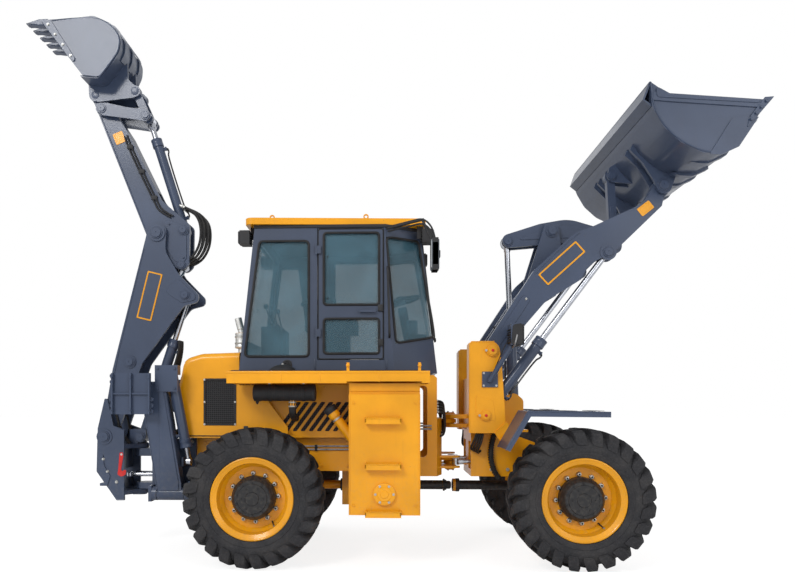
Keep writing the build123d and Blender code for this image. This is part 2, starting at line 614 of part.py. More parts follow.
# loader bucket: outline of the end plates, then the rolled shell between them
BUCKET_HALF = 1130
BUCKET_END = [
    (3251, 3988), (3388, 3890), (4151, 3827), (4114, 3718), (3940, 3470, 60), (3800, 3405, 120),
    (3668, 3411, 120), (3490, 3500, 200), (3360, 3620, 200), (3262, 3790, 200),
]
SHELL_OUTER = [
    (3251, 3988), (3262, 3790, 200), (3360, 3620, 200), (3490, 3500, 200), (3668, 3411, 120),
    (3800, 3405, 120), (3940, 3470), (4114, 3718), (4219, 3843), (4188, 3838), (4096, 3728),
    (3926, 3484), (3800, 3421, 110), (3672, 3427, 110), (3500, 3512, 190), (3374, 3629, 190),
    (3277, 3794, 190), (3266, 3988),
]
EAR_SLABS = [(392, 424), (528, 560)]
ARM_EAR = [(3550, 3255, 60), (3640, 3270, 60), (3700, 3440), (3480, 3530), (3360, 3650), (3320, 3720),
           (3290, 3650), (3400, 3540), (3500, 3380, 60)]
TILT_EAR = [(3235, 3540, 50), (3310, 3520, 50), (3500, 3505), (3330, 3700), (3260, 3660, 50)]

with BuildPart() as loader_bucket:
    plate(SHELL_OUTER, 0, BUCKET_HALF)
    plate(BUCKET_END, BUCKET_HALF - 4, BUCKET_HALF + 16)
    plate([(3270, 3905), (3388, 3890), (4151, 3827), (4130, 3765), (3390, 3825), (3270, 3838)],
          BUCKET_HALF + 16, BUCKET_HALF + 26)
    plate([(3720, 3400), (3806, 3390, 100), (3950, 3455), (4105, 3690), (3900, 3690, 80)],
          BUCKET_HALF + 16, BUCKET_HALF + 24)
    for inner, outer in EAR_SLABS:
        plate(ARM_EAR, inner, outer)
        boss(ARM_TIP, 64, inner - 3, outer + 3)
    boss(ARM_TIP, 38, EAR_SLABS[0][0], EAR_SLABS[1][1])
    plate(TILT_EAR, 44, 66)
    boss(TILT_PIN, 32, 0, 66)
    for gusset_y in (0, 400, 800):
        plate([(3262, 3960), (3200, 3850), (3262, 3800)], gusset_y, gusset_y + 14)
    plate([(3262, 3975), (3240, 3975), (3195, 3850), (3262, 3795), (3266, 3810), (3210, 3852), (3252, 3960)],
          0, BUCKET_HALF)
    plate([(3620, 3412), (3690, 3386), (3800, 3380, 60), (3930, 3440), (3926, 3470), (3800, 3408), (3668, 3414)],
          600, 660)
    mirror(about=Plane.XZ)
save(loader_bucket, "loader_bucket")

LIFT_TUBE = 860
TILT_TUBE = 780

with BuildPart() as lift_barrels:
    for hand in (-1, 1):
        barrel(point(LIFT_BASE, hand * ARM_Y), point(LIFT_EYE, hand * ARM_Y), LIFT_TUBE, 50, 28, 34, 54, 58)
save(lift_barrels, "lift_barrels")

with BuildPart() as lift_rods:
    for hand in (-1, 1):
        ram_rod(point(LIFT_BASE, hand * ARM_Y), point(LIFT_EYE, hand * ARM_Y), 1050, 28, 32, 29, 54)
save(lift_rods, "lift_rods")

with BuildPart() as tilt_barrel:
    barrel(point(TILT_BASE, 0), point(ROCKER_REAR, 0), TILT_TUBE, 50, 27, 33, 54, 58)
save(tilt_barrel, "tilt_barrel")

with BuildPart() as tilt_rod:
    ram_rod(point(TILT_BASE, 0), point(ROCKER_REAR, 0), 835, 27, 32, 32, 54)
save(tilt_rod, "tilt_rod")

# ---------------------------------------------------------------- steering cylinders
STEER_TUBE = 520
STEER_ROD = 520
for name, hand in (("right", -1), ("left", 1)):
    base = (STEER_BASE[0], hand * STEER_BASE[1], STEER_BASE[2])
    eye = (STEER_EYE[0], hand * STEER_EYE[1], STEER_EYE[2])
    with BuildPart() as steer_barrel:
        barrel(base, eye, STEER_TUBE, 34, 18, 22, 34, 40, axis="Z")
    save(steer_barrel, f"steer_barrel_{name}")
    with BuildPart() as steer_rod:
        ram_rod(base, eye, STEER_ROD, 18, 18, 30, 34, axis="Z")
    save(steer_rod, f"steer_rod_{name}")

# ---------------------------------------------------------------- backhoe mounting on the rear frame
MOUNT_SIDE = [(-1000, 520), (-1000, 960), (-760, 1075), (-600, 1075), (-600, 520)]
MOUNT_EARS = [(560, 620), (880, 955)]
MOUNT_EAR_PLAN = [
    (-1000, -200), (-1045, -88), (-1300, -82), (-1380, 0, 56), (-1300, 82), (-1045, 88), (-1000, 200),
]

with BuildPart() as backhoe_mount:
    block((-1000, -970), (-590, 0), (520, 960))
    block((-1000, -970), (-700, -590), (520, 660))
    block((-640, -612), (-570, 0), (520, 770))
    block((-640, -612), (-700, -570), (520, 700))
    plate([(-1000, 520), (-1000, 960), (-860, 1070), (-642, 1070), (-642, 520)], 404, 428)
    block((-970, -640), (-600, -120), (520, 545))
    for x_span in ((-965, -925), (-675, -635)):
        rod_between((x_span[0], -LEG_HINGE[1], LEG_HINGE[2]), (x_span[1], -LEG_HINGE[1], LEG_HINGE[2]), 62)
        block(x_span, (-700, -428), (545, 640))
    rod_between((-965, -LEG_HINGE[1], LEG_HINGE[2]), (-635, -LEG_HINGE[1], LEG_HINGE[2]), 30)
    block((-718, -702), (-640, -428), (830, 910))
    rod_between((-1060, -60, 700), (-500, -60, 700), 45)
    rod_between((-1061, -60, 700), (-560, -60, 700), 23, mode=Mode.SUBTRACT)
    mirror(about=Plane.XZ)
    for low, high in MOUNT_EARS:
        slab(level(low), MOUNT_EAR_PLAN, high - low)
        post(SWING_X, 0, 40 + PIN_PLAY, low, high, mode=Mode.SUBTRACT)
save(backhoe_mount, "backhoe_mount")

# ---------------------------------------------------------------- swing post
POST_CHEEK = [
    (-1587, 1440), (-1560, 1440), (-1500, 1180), (-1395, 1142), (-1395, 464), (-1471, 464), (-1666, 741),
    (-1655, 1154),
]
POST_EAR_PLAN = [
    (-1480, -230), (-1395, -230), (-1300, -100), (-1210, 0, 70), (-1300, 100), (-1395, 230), (-1480, 230),
]

with BuildPart() as swing_post:
    plate(POST_CHEEK, 205, 230)
    boss(BOOM_FOOT, 75, 200, 238)
    boss(BOOM_FOOT, 36, 75, 215)
    plate([(-1395, 1142), (-1235, 1142), (-1235, 1060), (-1330, 1000), (-1395, 1000)], 62, 86)
    boss(BOOM_RAM_BASE, 52, 60, 92)
    boss(BOOM_RAM_BASE, 33, 0, 70)
    plate([(-1560, 600), (-1660, 760), (-1600, 900), (-1590, 800), (-1530, 700)], 230, 240)
    mirror(about=Plane.XZ)
    for low, high in ((960, 1002), (515, 555)):
        slab(level(low), POST_EAR_PLAN, high - low)
    post(SWING_X, 0, 40, 880, 980)
    post(SWING_X, 0, 40, 530, 620)
    block((-1500, -1474), (-215, 215), (520, 990))
    block((-1510, -1460), (-204, 204), (650, 750), mode=Mode.SUBTRACT)
    block((-1640, -1480), (-215, 215), (600, 626))
save(swing_post, "swing_post")

# ---------------------------------------------------------------- boom
BOOM_SIDE = [
    (-1628, 1010, 50), (-1650, 1120, 60), (-1545, 1727, 300), (-1214, 3026), (-1190, 3120, 60), (-1100, 3160, 90),
    (-1015, 3105, 60), (-1029, 2876, 200), (-896, 2652, 60), (-700, 2450, 50), (-700, 2380, 50), (-844, 2343, 80),
    (-1254, 1787, 80), (-1510, 1060, 60), (-1545, 1000, 50),
]
BOOM_REAR_WEB = [(-1571, 1250), (-1543, 1727, 300), (-1300, 2690), (-1272, 2683), (-1515, 1725, 300), (-1543, 1250)]
BOOM_HALF = 140

with BuildPart() as boom:
    plate(BOOM_SIDE, 112, BOOM_HALF)
    boss(BOOM_FOOT, 76, 112, 196)
    boss(BOOM_FOOT, 36 + PIN_PLAY, 70, 210, mode=Mode.SUBTRACT)
    plate(BOOM_REAR_WEB, 0, BOOM_HALF)
    boss(STICK_PIN, 82, BOOM_HALF, 152)
    boss(STICK_PIN, 38, 0, 150)
    boss(STICK_RAM_BASE, 60, BOOM_HALF, 152)
    boss(STICK_RAM_BASE, 33, 0, 150)
    boss(BOOM_RAM_EYE, 60, BOOM_HALF, 150)
    boss(BOOM_RAM_EYE, 58, 56, 112)
    boss(STICK_RAM_BASE, 56, 56, 112)
    boss(BOOM_RAM_EYE, 30, 50, 160, mode=Mode.SUBTRACT)
    mirror(about=Plane.XZ)
save(boom, "boom")

# ---------------------------------------------------------------- stick
STICK_SIDE = [
    (-1228, 3048, 80), (-1743, 4335), (-1790, 4420, 60), (-1740, 4480, 50), (-1680, 4470, 50), (-1400, 4035),
    (-1080, 3385, 200), (-798, 3144, 60), (-805, 2754, 60), (-877, 2690, 60), (-960, 2740, 60), (-1100, 2960, 80),
    (-1190, 2960, 60),
]
STICK_HALF = 92
TAIL_GAP = [(-1070, 3165, 50), (-1160, 3480), (-850, 3480), (-700, 3200), (-700, 2600), (-1080, 2600),
            (-1080, 2900), (-1000, 2960), (-985, 3020, 40)]

with BuildPart() as stick:
    plate(STICK_SIDE, 0, STICK_HALF)
    plate(TAIL_GAP, -1, 62, mode=Mode.SUBTRACT)
    boss(STICK_PIN, 100, 0, 106)
    boss(DIGGER_RAM_BASE, 33, 0, 80)
    boss(DIGGER_RAM_BASE, 58, 62, 104)
    boss(CURL_ROCKER_PIN, 60, 0, 122)
    boss(CURL_ROCKER_PIN, 30, 0, 150)
    boss(STICK_PIN, 38 + PIN_PLAY, -1, 120, mode=Mode.SUBTRACT)
    boss(DIGGER_PIN, 34 + PIN_PLAY, -1, 120, mode=Mode.SUBTRACT)
    boss(STICK_RAM_EYE, 30, 60, 120, mode=Mode.SUBTRACT)
    mirror(about=Plane.XZ)
save(stick, "stick")

# ---------------------------------------------------------------- digging bucket
DIGGER_HALF = 300
DIGGER_END = [
    (-2152, 5030), (-2021, 5040), (-1671, 5078, 120), (-1508, 5003, 120), (-1412, 4887, 120), (-1419, 4773, 120),
    (-1453, 4698, 120), (-1610, 4500, 60), (-1769, 4520), (-1900, 4690, 150),
]
DIGGER_SHELL = [
    (-2152, 5050), (-2021, 5052), (-1665, 5090, 132), (-1500, 5014, 132), (-1400, 4890, 132), (-1407, 4770, 132),
    (-1441, 4690, 132), (-1605, 4488, 72), (-1790, 4512), (-1794, 4526), (-1614, 4503, 58), (-1454, 4700, 118),
    (-1421, 4774, 118), (-1414, 4886, 118), (-1510, 5001, 118), (-1671, 5075, 118), (-2021, 5037), (-2152, 5034),
]
DIGGER_EAR = [(-1790, 4520), (-1785, 4390, 60), (-1700, 4345, 60), (-1330, 4385, 60), (-1275, 4450, 60),
              (-1400, 4560, 60), (-1405, 4720), (-1500, 4640), (-1605, 4500)]
TEETH = 5

with BuildPart() as digger:
    plate(DIGGER_SHELL, 0, DIGGER_HALF)
    plate(DIGGER_END, DIGGER_HALF - 2, DIGGER_HALF + 14)
    plate(DIGGER_EAR, 100, 122)
    boss(DIGGER_PIN, 62, 94, 122)
    boss(CURL_LINK_PIN, 54, 94, 122)
    boss(DIGGER_PIN, 34, 0, 110)
    boss(CURL_LINK_PIN, 30, 0, 110)
    mirror(about=Plane.XZ)
    for index in range(TEETH):
        y = -DIGGER_HALF + 38 + index * (2 * DIGGER_HALF - 76) / (TEETH - 1)
        slab(side(y + 34), [(-2080, 5022), (-2080, 5062), (-2175, 5062), (-2318, 5030), (-2310, 5020),
                            (-2175, 5020)], 68)
save(digger, "digging_bucket")

CURL_ROCKER = [(-1715, 4255, 30), (-1695, 4325, 30), (-1600, 4325, 30), (-1410, 4280, 200), (-1220, 4255, 40),
               (-1160, 4200, 40), (-1205, 4140, 40), (-1420, 4175, 200), (-1640, 4205, 50)]

with BuildPart() as curl_rocker:
    plate(CURL_ROCKER, 127, 145)
    boss(CURL_ROCKER_PIN, 30 + PIN_PLAY, 120, 160, mode=Mode.SUBTRACT)
    boss(DIGGER_RAM_EYE, 30, 120, 160, mode=Mode.SUBTRACT)
    mirror(about=Plane.XZ)
save(curl_rocker, "curl_rocker")

with BuildPart() as curl_link:
    plate([(CURL_LINK_PIN[0] - 40, CURL_LINK_PIN[1]), (CURL_LINK_PIN[0] + 40, CURL_LINK_PIN[1]),
           (DIGGER_RAM_EYE[0] + 40, DIGGER_RAM_EYE[1]), (DIGGER_RAM_EYE[0] - 40, DIGGER_RAM_EYE[1])], 60, 88)
    for pin in (CURL_LINK_PIN, DIGGER_RAM_EYE):
        boss(pin, 52, 58, 90)
    boss(CURL_LINK_PIN, 30 + PIN_PLAY, 50, 100, mode=Mode.SUBTRACT)
    boss(DIGGER_RAM_EYE, 30, 50, 100, mode=Mode.SUBTRACT)
    mirror(about=Plane.XZ)
save(curl_link, "curl_link")

BACKHOE_RAMS = [
    # name, base pin, rod eye, tube length, rod length, tube radius
    ("boom", BOOM_RAM_BASE, BOOM_RAM_EYE, 1010, 1010, 50),
    ("stick", STICK_RAM_BASE, STICK_RAM_EYE, 880, 880, 48),
    ("curl", DIGGER_RAM_BASE, DIGGER_RAM_EYE, 960, 1000, 46),
]
for name, base, eye, tube, rod, radius in BACKHOE_RAMS:
    with BuildPart() as ram_barrel:
        barrel(point(base, 0), point(eye, 0), tube, radius, 26, 33, 52, 52)
    save(ram_barrel, f"{name}_barrel")
    with BuildPart() as ram:
        ram_rod(point(base, 0), point(eye, 0), rod, 26, 30, 40, 48)
    save(ram, f"{name}_rod")

for name, hand in (("right", -1), ("left", 1)):
    with BuildPart() as swing_rod:
        eye = (SWING_EYE[0], hand * SWING_EYE[1], SWING_EYE[2])
        gland = (SWING_GLAND[0], hand * SWING_GLAND[1], SWING_GLAND[2])
        ram_rod(gland, eye, 720, 22, 18, 16, 31, axis="Z")
    save(swing_rod, f"swing_rod_{name}")

# ---------------------------------------------------------------- stabilisers
LEG_SIDE = [(-905, 560), (-695, 560), (-700, 700), (-850, 1590), (-1080, 1590)]
LEG_TUBE = 700
LEG_ROD = 660

for name, hand in (("right", -1), ("left", 1)):

    def hinge_point(spot):
        """Point given by its distance outwards, set on this side of the machine."""
        return (spot[0], hand * spot[1], spot[2])

    def outward(inner, outer):
        """Span between two distances outwards, as limits of y."""
        return tuple(sorted((hand * inner, hand * outer)))

    hinge, top, eye, foot_pin = (hinge_point(p) for p in (LEG_HINGE, LEG_RAM_TOP, LEG_RAM_EYE, FOOT_PIN))
    with BuildPart() as leg:
        slab(side(outward(605, 715)[1]), LEG_SIDE, 110)
        rod_between((-920, hinge[1], hinge[2]), (-680, hinge[1], hinge[2]), 60)
        rod_between((-921, hinge[1], hinge[2]), (-679, hinge[1], hinge[2]), 30 + PIN_PLAY, mode=Mode.SUBTRACT)
        block((-1130, -1000), outward(640, 715), (1440, 1520))
        block((-1130, -1084), outward(640, 765), (1440, 1520))
        rod_between((-1130, foot_pin[1], foot_pin[2]), (-1084, foot_pin[1], foot_pin[2]), 40)
        rod_between((-1140, foot_pin[1], foot_pin[2]), (-1074, foot_pin[1], foot_pin[2]), 22 + PIN_PLAY,
                    mode=Mode.SUBTRACT)
        block((-930, -726), outward(715, 731), (1500, 1735))
        for x in (-870, -742):
            block((x, x + 16), outward(640, 720), (1650, 1735))
        rod_between((-870, top[1], top[2]), (-730, top[1], top[2]), 24)
    save(leg, f"stabiliser_leg_{name}")

    with BuildPart() as foot:
        block((-1277, -937), outward(806, 820), (1300, 1660))
        for x in (-1277, -1114, -951):
            block((x, x + 14), outward(820, 850), (1300, 1660))
        block((-1277, -937), outward(820, 840), (1473, 1487))
        for x in (-1160, -1078):
            block((x, x + 24), outward(742, 806), (1448, 1512))
        rod_between((-1160, foot_pin[1], foot_pin[2]), (-1054, foot_pin[1], foot_pin[2]), 22)
    save(foot, f"stabiliser_foot_{name}")

    with BuildPart() as leg_barrel:
        barrel(top, eye, LEG_TUBE, 46, 24, 24, 48, 42, axis="X")
    save(leg_barrel, f"stabiliser_barrel_{name}")
    with BuildPart() as leg_rod:
        ram_rod(top, eye, LEG_ROD, 24, 20, 18, 38, axis="X")
    save(leg_rod, f"stabiliser_rod_{name}")
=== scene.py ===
"""Dresses a backhoe loader: finishes for its frame, and the detailed pieces laid on it."""
import json
import math

import bpy
from mathutils import Matrix, Vector


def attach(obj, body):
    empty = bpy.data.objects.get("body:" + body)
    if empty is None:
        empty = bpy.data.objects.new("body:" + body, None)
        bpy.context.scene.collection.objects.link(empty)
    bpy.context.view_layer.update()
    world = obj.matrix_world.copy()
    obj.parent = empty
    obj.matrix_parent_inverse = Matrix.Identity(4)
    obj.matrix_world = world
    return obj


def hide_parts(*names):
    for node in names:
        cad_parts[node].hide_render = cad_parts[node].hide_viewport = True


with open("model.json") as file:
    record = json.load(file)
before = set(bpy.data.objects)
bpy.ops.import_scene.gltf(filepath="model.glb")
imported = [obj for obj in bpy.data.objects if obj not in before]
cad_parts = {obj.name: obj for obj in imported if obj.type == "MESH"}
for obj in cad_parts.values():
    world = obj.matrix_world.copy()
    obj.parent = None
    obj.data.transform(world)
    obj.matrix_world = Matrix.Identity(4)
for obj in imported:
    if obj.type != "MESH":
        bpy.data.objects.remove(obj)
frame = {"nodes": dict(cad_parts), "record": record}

bl_info = {
    "name": "Backhoe loader dressing",
    "version": (1, 0, 0),
    "blender": (4, 5, 0),
    "location": "View3D > Sidebar > Backhoe loader",
    "description": "Finishes, tyres, lamps, hoses, pins and cab fittings for a backhoe loader",
    "category": "Object",
}

MM = 0.001
REAR_AXLE_X = -0.950

# directions seen from the driver's seat
FORWARD, BACK = (1, 0, 0), (-1, 0, 0)
LEFT, RIGHT = (0, 1, 0), (0, -1, 0)
UP, DOWN = (0, 0, 1), (0, 0, -1)
SIDES = (("right", -1), ("left", 1))


def oblong(low, high, corner=0):
    """Outline of a rectangle between two corners, with one corner radius."""
    return [(low[0], low[1], corner), (high[0], low[1], corner), (high[0], high[1], corner),
            (low[0], high[1], corner)]


def mirrored(place, hand):
    """Place of a left-hand point on the side that hand gives."""
    return (place[0], hand * place[1], place[2])


# wheels and drive line, in millimetres
WHEELBASE = 2750
AXLE_Z = 595
HALF_TRACK = 890
DRIVE_LINE_Z = 600
DIFFERENTIAL_BOLTS = 12
WHEELS = {
    # name: (x of the axle, side of the machine)
    "rear_right": (0, -1),
    "rear_left": (0, 1),
    "front_right": (WHEELBASE, -1),
    "front_left": (WHEELBASE, 1),
}

# cab, walkways and breathing
CAB_FLOOR_Z = 1672
CAB_SIDE_Y = 642
SIDE_WINDOW = [(-12, 2845, 40), (431, 2845, 40), (431, 1815, 40), (-146, 1815, 40)]
DOORWAY_WINDOW = oblong((563, 1823), (1050, 2900), 30)
DOOR_PANES = [
    # (lower edge, upper edge) of each pane
    (1840, 2150), (2275, 2915),
]
STEP_HEIGHTS = (1223, 842, 446)
AIR_CLEANER_AXIS = (-750, 1490)
PRECLEANER = (213, -750)
EXHAUST = (-235, -330)

# loader pins as (x, z)
ARM_FOOT = (2073, 1869)
ARM_TIP = (3585, 3336)
LIFT_BASE = (2014, 1287)
LIFT_EYE = (3111, 2754)
ROCKER_PIN = (2707, 3043)
ROCKER_REAR = (2294, 2958)
ROCKER_FRONT = (3320, 2900)
TILT_PIN = (3285, 3580)
TILT_BASE = (2360, 1420)
LIFT_Y = 476

# backhoe pins as (x, z)
SWING_X = -1300
BOOM_FOOT = (-1588, 1076)
BOOM_RAM_BASE = (-1290, 1065)
BOOM_RAM_EYE = (-833, 2448)
STICK_PIN = (-1109, 3054)
STICK_RAM_BASE = (-1373, 1800)
STICK_RAM_EYE = (-883, 2751)
DIGGER_PIN = (-1723, 4414)
DIGGER_RAM_BASE = (-865, 3092)
DIGGER_RAM_EYE = (-1220, 4197)
CURL_ROCKER_PIN = (-1650, 4269)
CURL_LINK_PIN = (-1333, 4447)

# pins of the paired cylinders on the left, as (x, y, z)
LEG_RAM_TOP = (-800, 662, 1690)
LEG_RAM_EYE = (-660, 600, 870)
STEER_BASE = (2540, 190, 850)
STEER_EYE = (1775, 250, 850)

PIN_HEADS = [
    # piece, body, pins as (pin, distance from the middle line, radius)
    ("loader_arm_pins", "arms", [(LIFT_EYE, 524, 38), (ROCKER_PIN, 132, 40)]),
    ("rocker_pins", "rocker", [(ROCKER_REAR, 72, 36), (ROCKER_FRONT, 72, 36)]),
    ("loader_bucket_pins", "loader_bucket", [(ARM_TIP, 563, 42), (TILT_PIN, 66, 36)]),
    ("swing_post_pins", "swing_post", [(BOOM_FOOT, 238, 44), (BOOM_RAM_BASE, 92, 36)]),
    ("boom_pins", "boom", [(STICK_PIN, 152, 48), (STICK_RAM_BASE, 152, 38), (BOOM_RAM_EYE, 150, 36)]),
    ("stick_pins", "stick",
     [(STICK_RAM_EYE, 92, 34), (DIGGER_RAM_BASE, 104, 36), (CURL_ROCKER_PIN, 146, 32)]),
    ("curl_rocker_pins", "curl_rocker", [(DIGGER_RAM_EYE, 145, 32)]),
]
CYLINDERS = [
    # name, barrel's body, base pin, rod eye, y, tube length, tube radius, turn of its pipe, hoses beside it
    ("lift", "lift_barrels", LIFT_BASE, LIFT_EYE, -LIFT_Y, 860, 50, 0, 0),
    ("tilt", "tilt_barrel", TILT_BASE, ROCKER_REAR, 0, 780, 50, 0, 0),
    ("boom", "boom_barrel", BOOM_RAM_BASE, BOOM_RAM_EYE, 0, 1010, 50, 0, 4),
    ("stick", "stick_barrel", STICK_RAM_BASE, STICK_RAM_EYE, 0, 880, 48, 90, 0),
    ("curl", "curl_barrel", DIGGER_RAM_BASE, DIGGER_RAM_EYE, 0, 960, 46, 180, 0),
]
PAIRED_CYLINDERS = [
    # name, barrel's body without its side, base pin, rod eye, tube length, tube radius
    ("stabiliser", "stabiliser_barrel", LEG_RAM_TOP, LEG_RAM_EYE, 700, 46),
    ("steering", "steer_barrel", STEER_BASE, STEER_EYE, 520, 34),
]

# studio
FLOOR_GLOW = 1.22
FLOOR_GLOW_SHARE = 0.68
SKY_LIGHT = 0.46
LAMP_AIM = Vector((0, 0, 1.6))
LAMPS = [
    # name, place in metres, watts, width in metres
    ("key", (-8.0, -14.0, 12.0), 1500, 5.0),
    ("fill", (9.0, -11.0, 5.0), 340, 7.0),
    ("back", (5.0, 12.0, 7.0), 120, 7.0),
]
CAMERA_PLACE = (0.186, -6.850, 1.393)
CAMERA_HEADING = 0.0362

# planes for plates: seen from the right, from above and from the front
SIDE = Matrix(((1, 0, 0, 0), (0, 0, -1, 0), (0, 1, 0, 0), (0, 0, 0, 1)))
LEVEL = Matrix.Identity(4)
ACROSS = Matrix(((0, 0, 1, 0), (1, 0, 0, 0), (0, 1, 0, 0), (0, 0, 0, 1)))


# ---------------------------------------------------------------- places
def at(x, y, z):
    """Point in metres from millimetres: forward of the rear axle, to the left, above the ground."""
    return Vector((REAR_AXLE_X + x * MM, y * MM, z * MM))


def route(places):
    """Points from places in millimetres."""
    return [at(*place) for place in places]


def beside(y, places):
    """Points at one distance from the middle line, from (x, z) pairs."""
    return [at(x, y, z) for x, z in places]


def grid(y, columns, rows):
    """Points at one distance from the middle line, where columns at x cross rows at z."""
    return [at(x, y, z) for x in columns for z in rows]


def bolt_circle(x, y, z, radius, count):
    """Points evenly round an upright circle across the machine's side."""
    turns = [math.tau * index / count for index in range(count)]
    return [at(x + radius * math.cos(turn), y, z + radius * math.sin(turn)) for turn in turns]


def facing(axis, place=Vector()):
    """Placement whose own upward direction points along an axis."""
    turn = Vector(axis).to_track_quat("Z", "Y").to_matrix().to_4x4()
    return Matrix.Translation(place) @ turn


def softened(rows, closed=True, steps=5):
    """Corner points of an outline; a row's last number is its corner radius in millimetres."""
    out = []
    count = len(rows)
    for index, row in enumerate(rows):
        here = Vector((row[0], row[1], 0))
        radius = row[2] if len(row) > 2 else 0
        if not radius or (not closed and index in (0, count - 1)):
            out.append(here)
            continue
        before = Vector((*rows[index - 1][:2], 0)) - here
        after = Vector((*rows[(index + 1) % count][:2], 0)) - here
        half = (math.pi - before.angle(after)) / 2
        reach = min(radius * math.tan(half), before.length * 0.49, after.length * 0.49)
        start, end = here + before.normalized() * reach, here + after.normalized() * reach
        for step in range(steps + 1):
            share = step / steps
            out.append(start * (1 - share) ** 2 + here * 2 * share * (1 - share) + end * share ** 2)
    return out


# ---------------------------------------------------------------- finishes
class Value:
    """Output of a node; arithmetic on it adds Math nodes."""

    def __init__(self, finish, socket):
        self.finish = finish
        self.socket = socket

    def _maths(self, operation, *others):
        """Add a Math node."""
        return self.finish.node("ShaderNodeMath", {"operation": operation}, *others)

    def __add__(self, other):
        return self._maths("ADD", self, other)

    def __radd__(self, other):
        return self._maths("ADD", other, self)

    def __sub__(self, other):
        return self._maths("SUBTRACT", self, other)

    def __rsub__(self, other):
        return self._maths("SUBTRACT", other, self)

    def __mul__(self, other):
        return self._maths("MULTIPLY", self, other)

    def __rmul__(self, other):
        return self._maths("MULTIPLY", other, self)

    def __truediv__(self, other):
        return self._maths("DIVIDE", self, other)

    def __pow__(self, other):
        return self._maths("POWER", self, other)

    def __gt__(self, other):
        return self._maths("GREATER_THAN", self, other)

    def __lt__(self, other):
        return self._maths("LESS_THAN", self, other)

    def size(self):
        """Distance of a value from nought."""
        return self._maths("ABSOLUTE", self)

    def ramp(self, low, high):
        """Rise smoothly from 0 to 1 between two values."""
        settings = {"interpolation_type": "SMOOTHSTEP", "clamp": True}
        return self.finish.node("ShaderNodeMapRange", settings, self, low, high, 0.0, 1.0)


class Finish:
    """Procedural material on Object coordinates."""

    def __init__(self, name, **constants):
        self.material = bpy.data.materials.new(name)
        self.material.use_nodes = True
        self.tree = self.material.node_tree
        self.tree.nodes.clear()
        self.output = self.tree.nodes.new("ShaderNodeOutputMaterial")
        self.shader = self.tree.nodes.new("ShaderNodeBsdfPrincipled")
        self.tree.links.new(self.shader.outputs[0], self.output.inputs["Surface"])
        for socket, value in constants.items():
            self.shader.inputs[socket.replace("_", " ")].default_value = value
        self.place = self.node("ShaderNodeTexCoord", {}, output="Object")

    def node(self, kind, settings, *values, output=0, **named):
        """Add a node: its settings first, then the values or links of its sockets."""
        node = self.tree.nodes.new(kind)
        for key, setting in settings.items():
            setattr(node, key, setting)
        sockets = dict(enumerate(values))
        sockets.update({key.replace("_", " "): value for key, value in named.items()})
        for key, value in sockets.items():
            if isinstance(value, Value):
                self.tree.links.new(value.socket, node.inputs[key])
            elif value is not None:
                node.inputs[key].default_value = value
        return Value(self, node.outputs[output])

    def mix(self, first, second, share):
        """Blend two colours."""
        values = [share, None, None, None, None, None, first, second]
        return self.node("ShaderNodeMix", {"data_type": "RGBA"}, *values, output=2)

    def noise(self, scale, detail=3.0, stretch=None):
        """Cloudy pattern from 0 to 1, at a number of cells to the metre."""
        place = self.place
        if stretch:
            place = self.node("ShaderNodeMapping", {}, Vector=place, Scale=stretch)
        return self.node("ShaderNodeTexNoise", {}, Vector=place, Scale=scale, Detail=detail)

    def cells(self, scale, feature="F1"):
        """Distance pattern of scattered cells."""
        return self.node("ShaderNodeTexVoronoi", {"feature": feature}, Vector=self.place, Scale=scale)

    def axis(self, name):
        """One coordinate of the piece, in metres."""
        return self.node("ShaderNodeSeparateXYZ", {}, self.place, output=name)

    def upward(self):
        """How far a surface faces up, from -1 to 1."""
        normal = self.node("ShaderNodeNewGeometry", {}, output="Normal")
        return self.node("ShaderNodeSeparateXYZ", {}, normal, output="Z")

    def coat(self, **links):
        """Link what varies over the surface to the shader."""
        for socket, value in links.items():
            self.tree.links.new(value.socket, self.shader.inputs[socket.replace("_", " ")])

    def bump(self, height, strength, distance=0.001):
        """Raise the surface by a pattern."""
        raised = self.node("ShaderNodeBump", {}, Strength=strength, Distance=distance, Height=height)
        self.coat(Normal=raised)


def shade(colour, factor):
    """Colour made darker or lighter."""
    return tuple(min(1.0, part * factor) for part in colour[:3]) + (1.0,)


def painted(name, colour, gloss=0.34, dust=0.35):
    """Sprayed steel: faint orange peel, clouding, dust that settles low and on upper faces."""
    finish = Finish(name, Specular_IOR_Level=0.28, Coat_Roughness=0.16)
    cloud = finish.noise(2.3, 5.0)
    fine = finish.noise(34.0, 4.0)
    streak = finish.noise(5.0, 4.0, stretch=(6.0, 6.0, 0.7))
    low = 1 - finish.axis("Z").ramp(0.25, 1.35)
    settled = finish.upward().ramp(0.4, 1.0) * fine.ramp(0.3, 0.8)
    dirt = (low * fine.ramp(0.42, 0.75) * 0.9 + settled * 0.35 + streak.ramp(0.55, 0.85) * 0.2) * dust
    base = finish.mix(shade(colour, 0.90), shade(colour, 1.07), cloud.ramp(0.3, 0.7))
    base = finish.mix(base, shade(colour, 0.72), streak.ramp(0.56, 0.9) * 0.3)
    chips = finish.cells(21.0).ramp(0.10, 0.04) * finish.noise(3.7, 2.0).ramp(0.60, 0.66)
    base = finish.mix(base, (0.09, 0.08, 0.075, 1), chips * 0.7)
    finish.coat(
        Base_Color=finish.mix(base, (0.25, 0.22, 0.18, 1), dirt),
        Roughness=gloss + dirt * 0.5 + (fine - 0.5) * 0.12 + chips * 0.3,
        Coat_Weight=0.26 - dirt * 0.26,
    )
    finish.bump(finish.noise(420.0, 2.0) * 0.5 + finish.noise(26.0, 2.0) * 0.6 - chips, 0.12, 0.0008)
    return finish.material


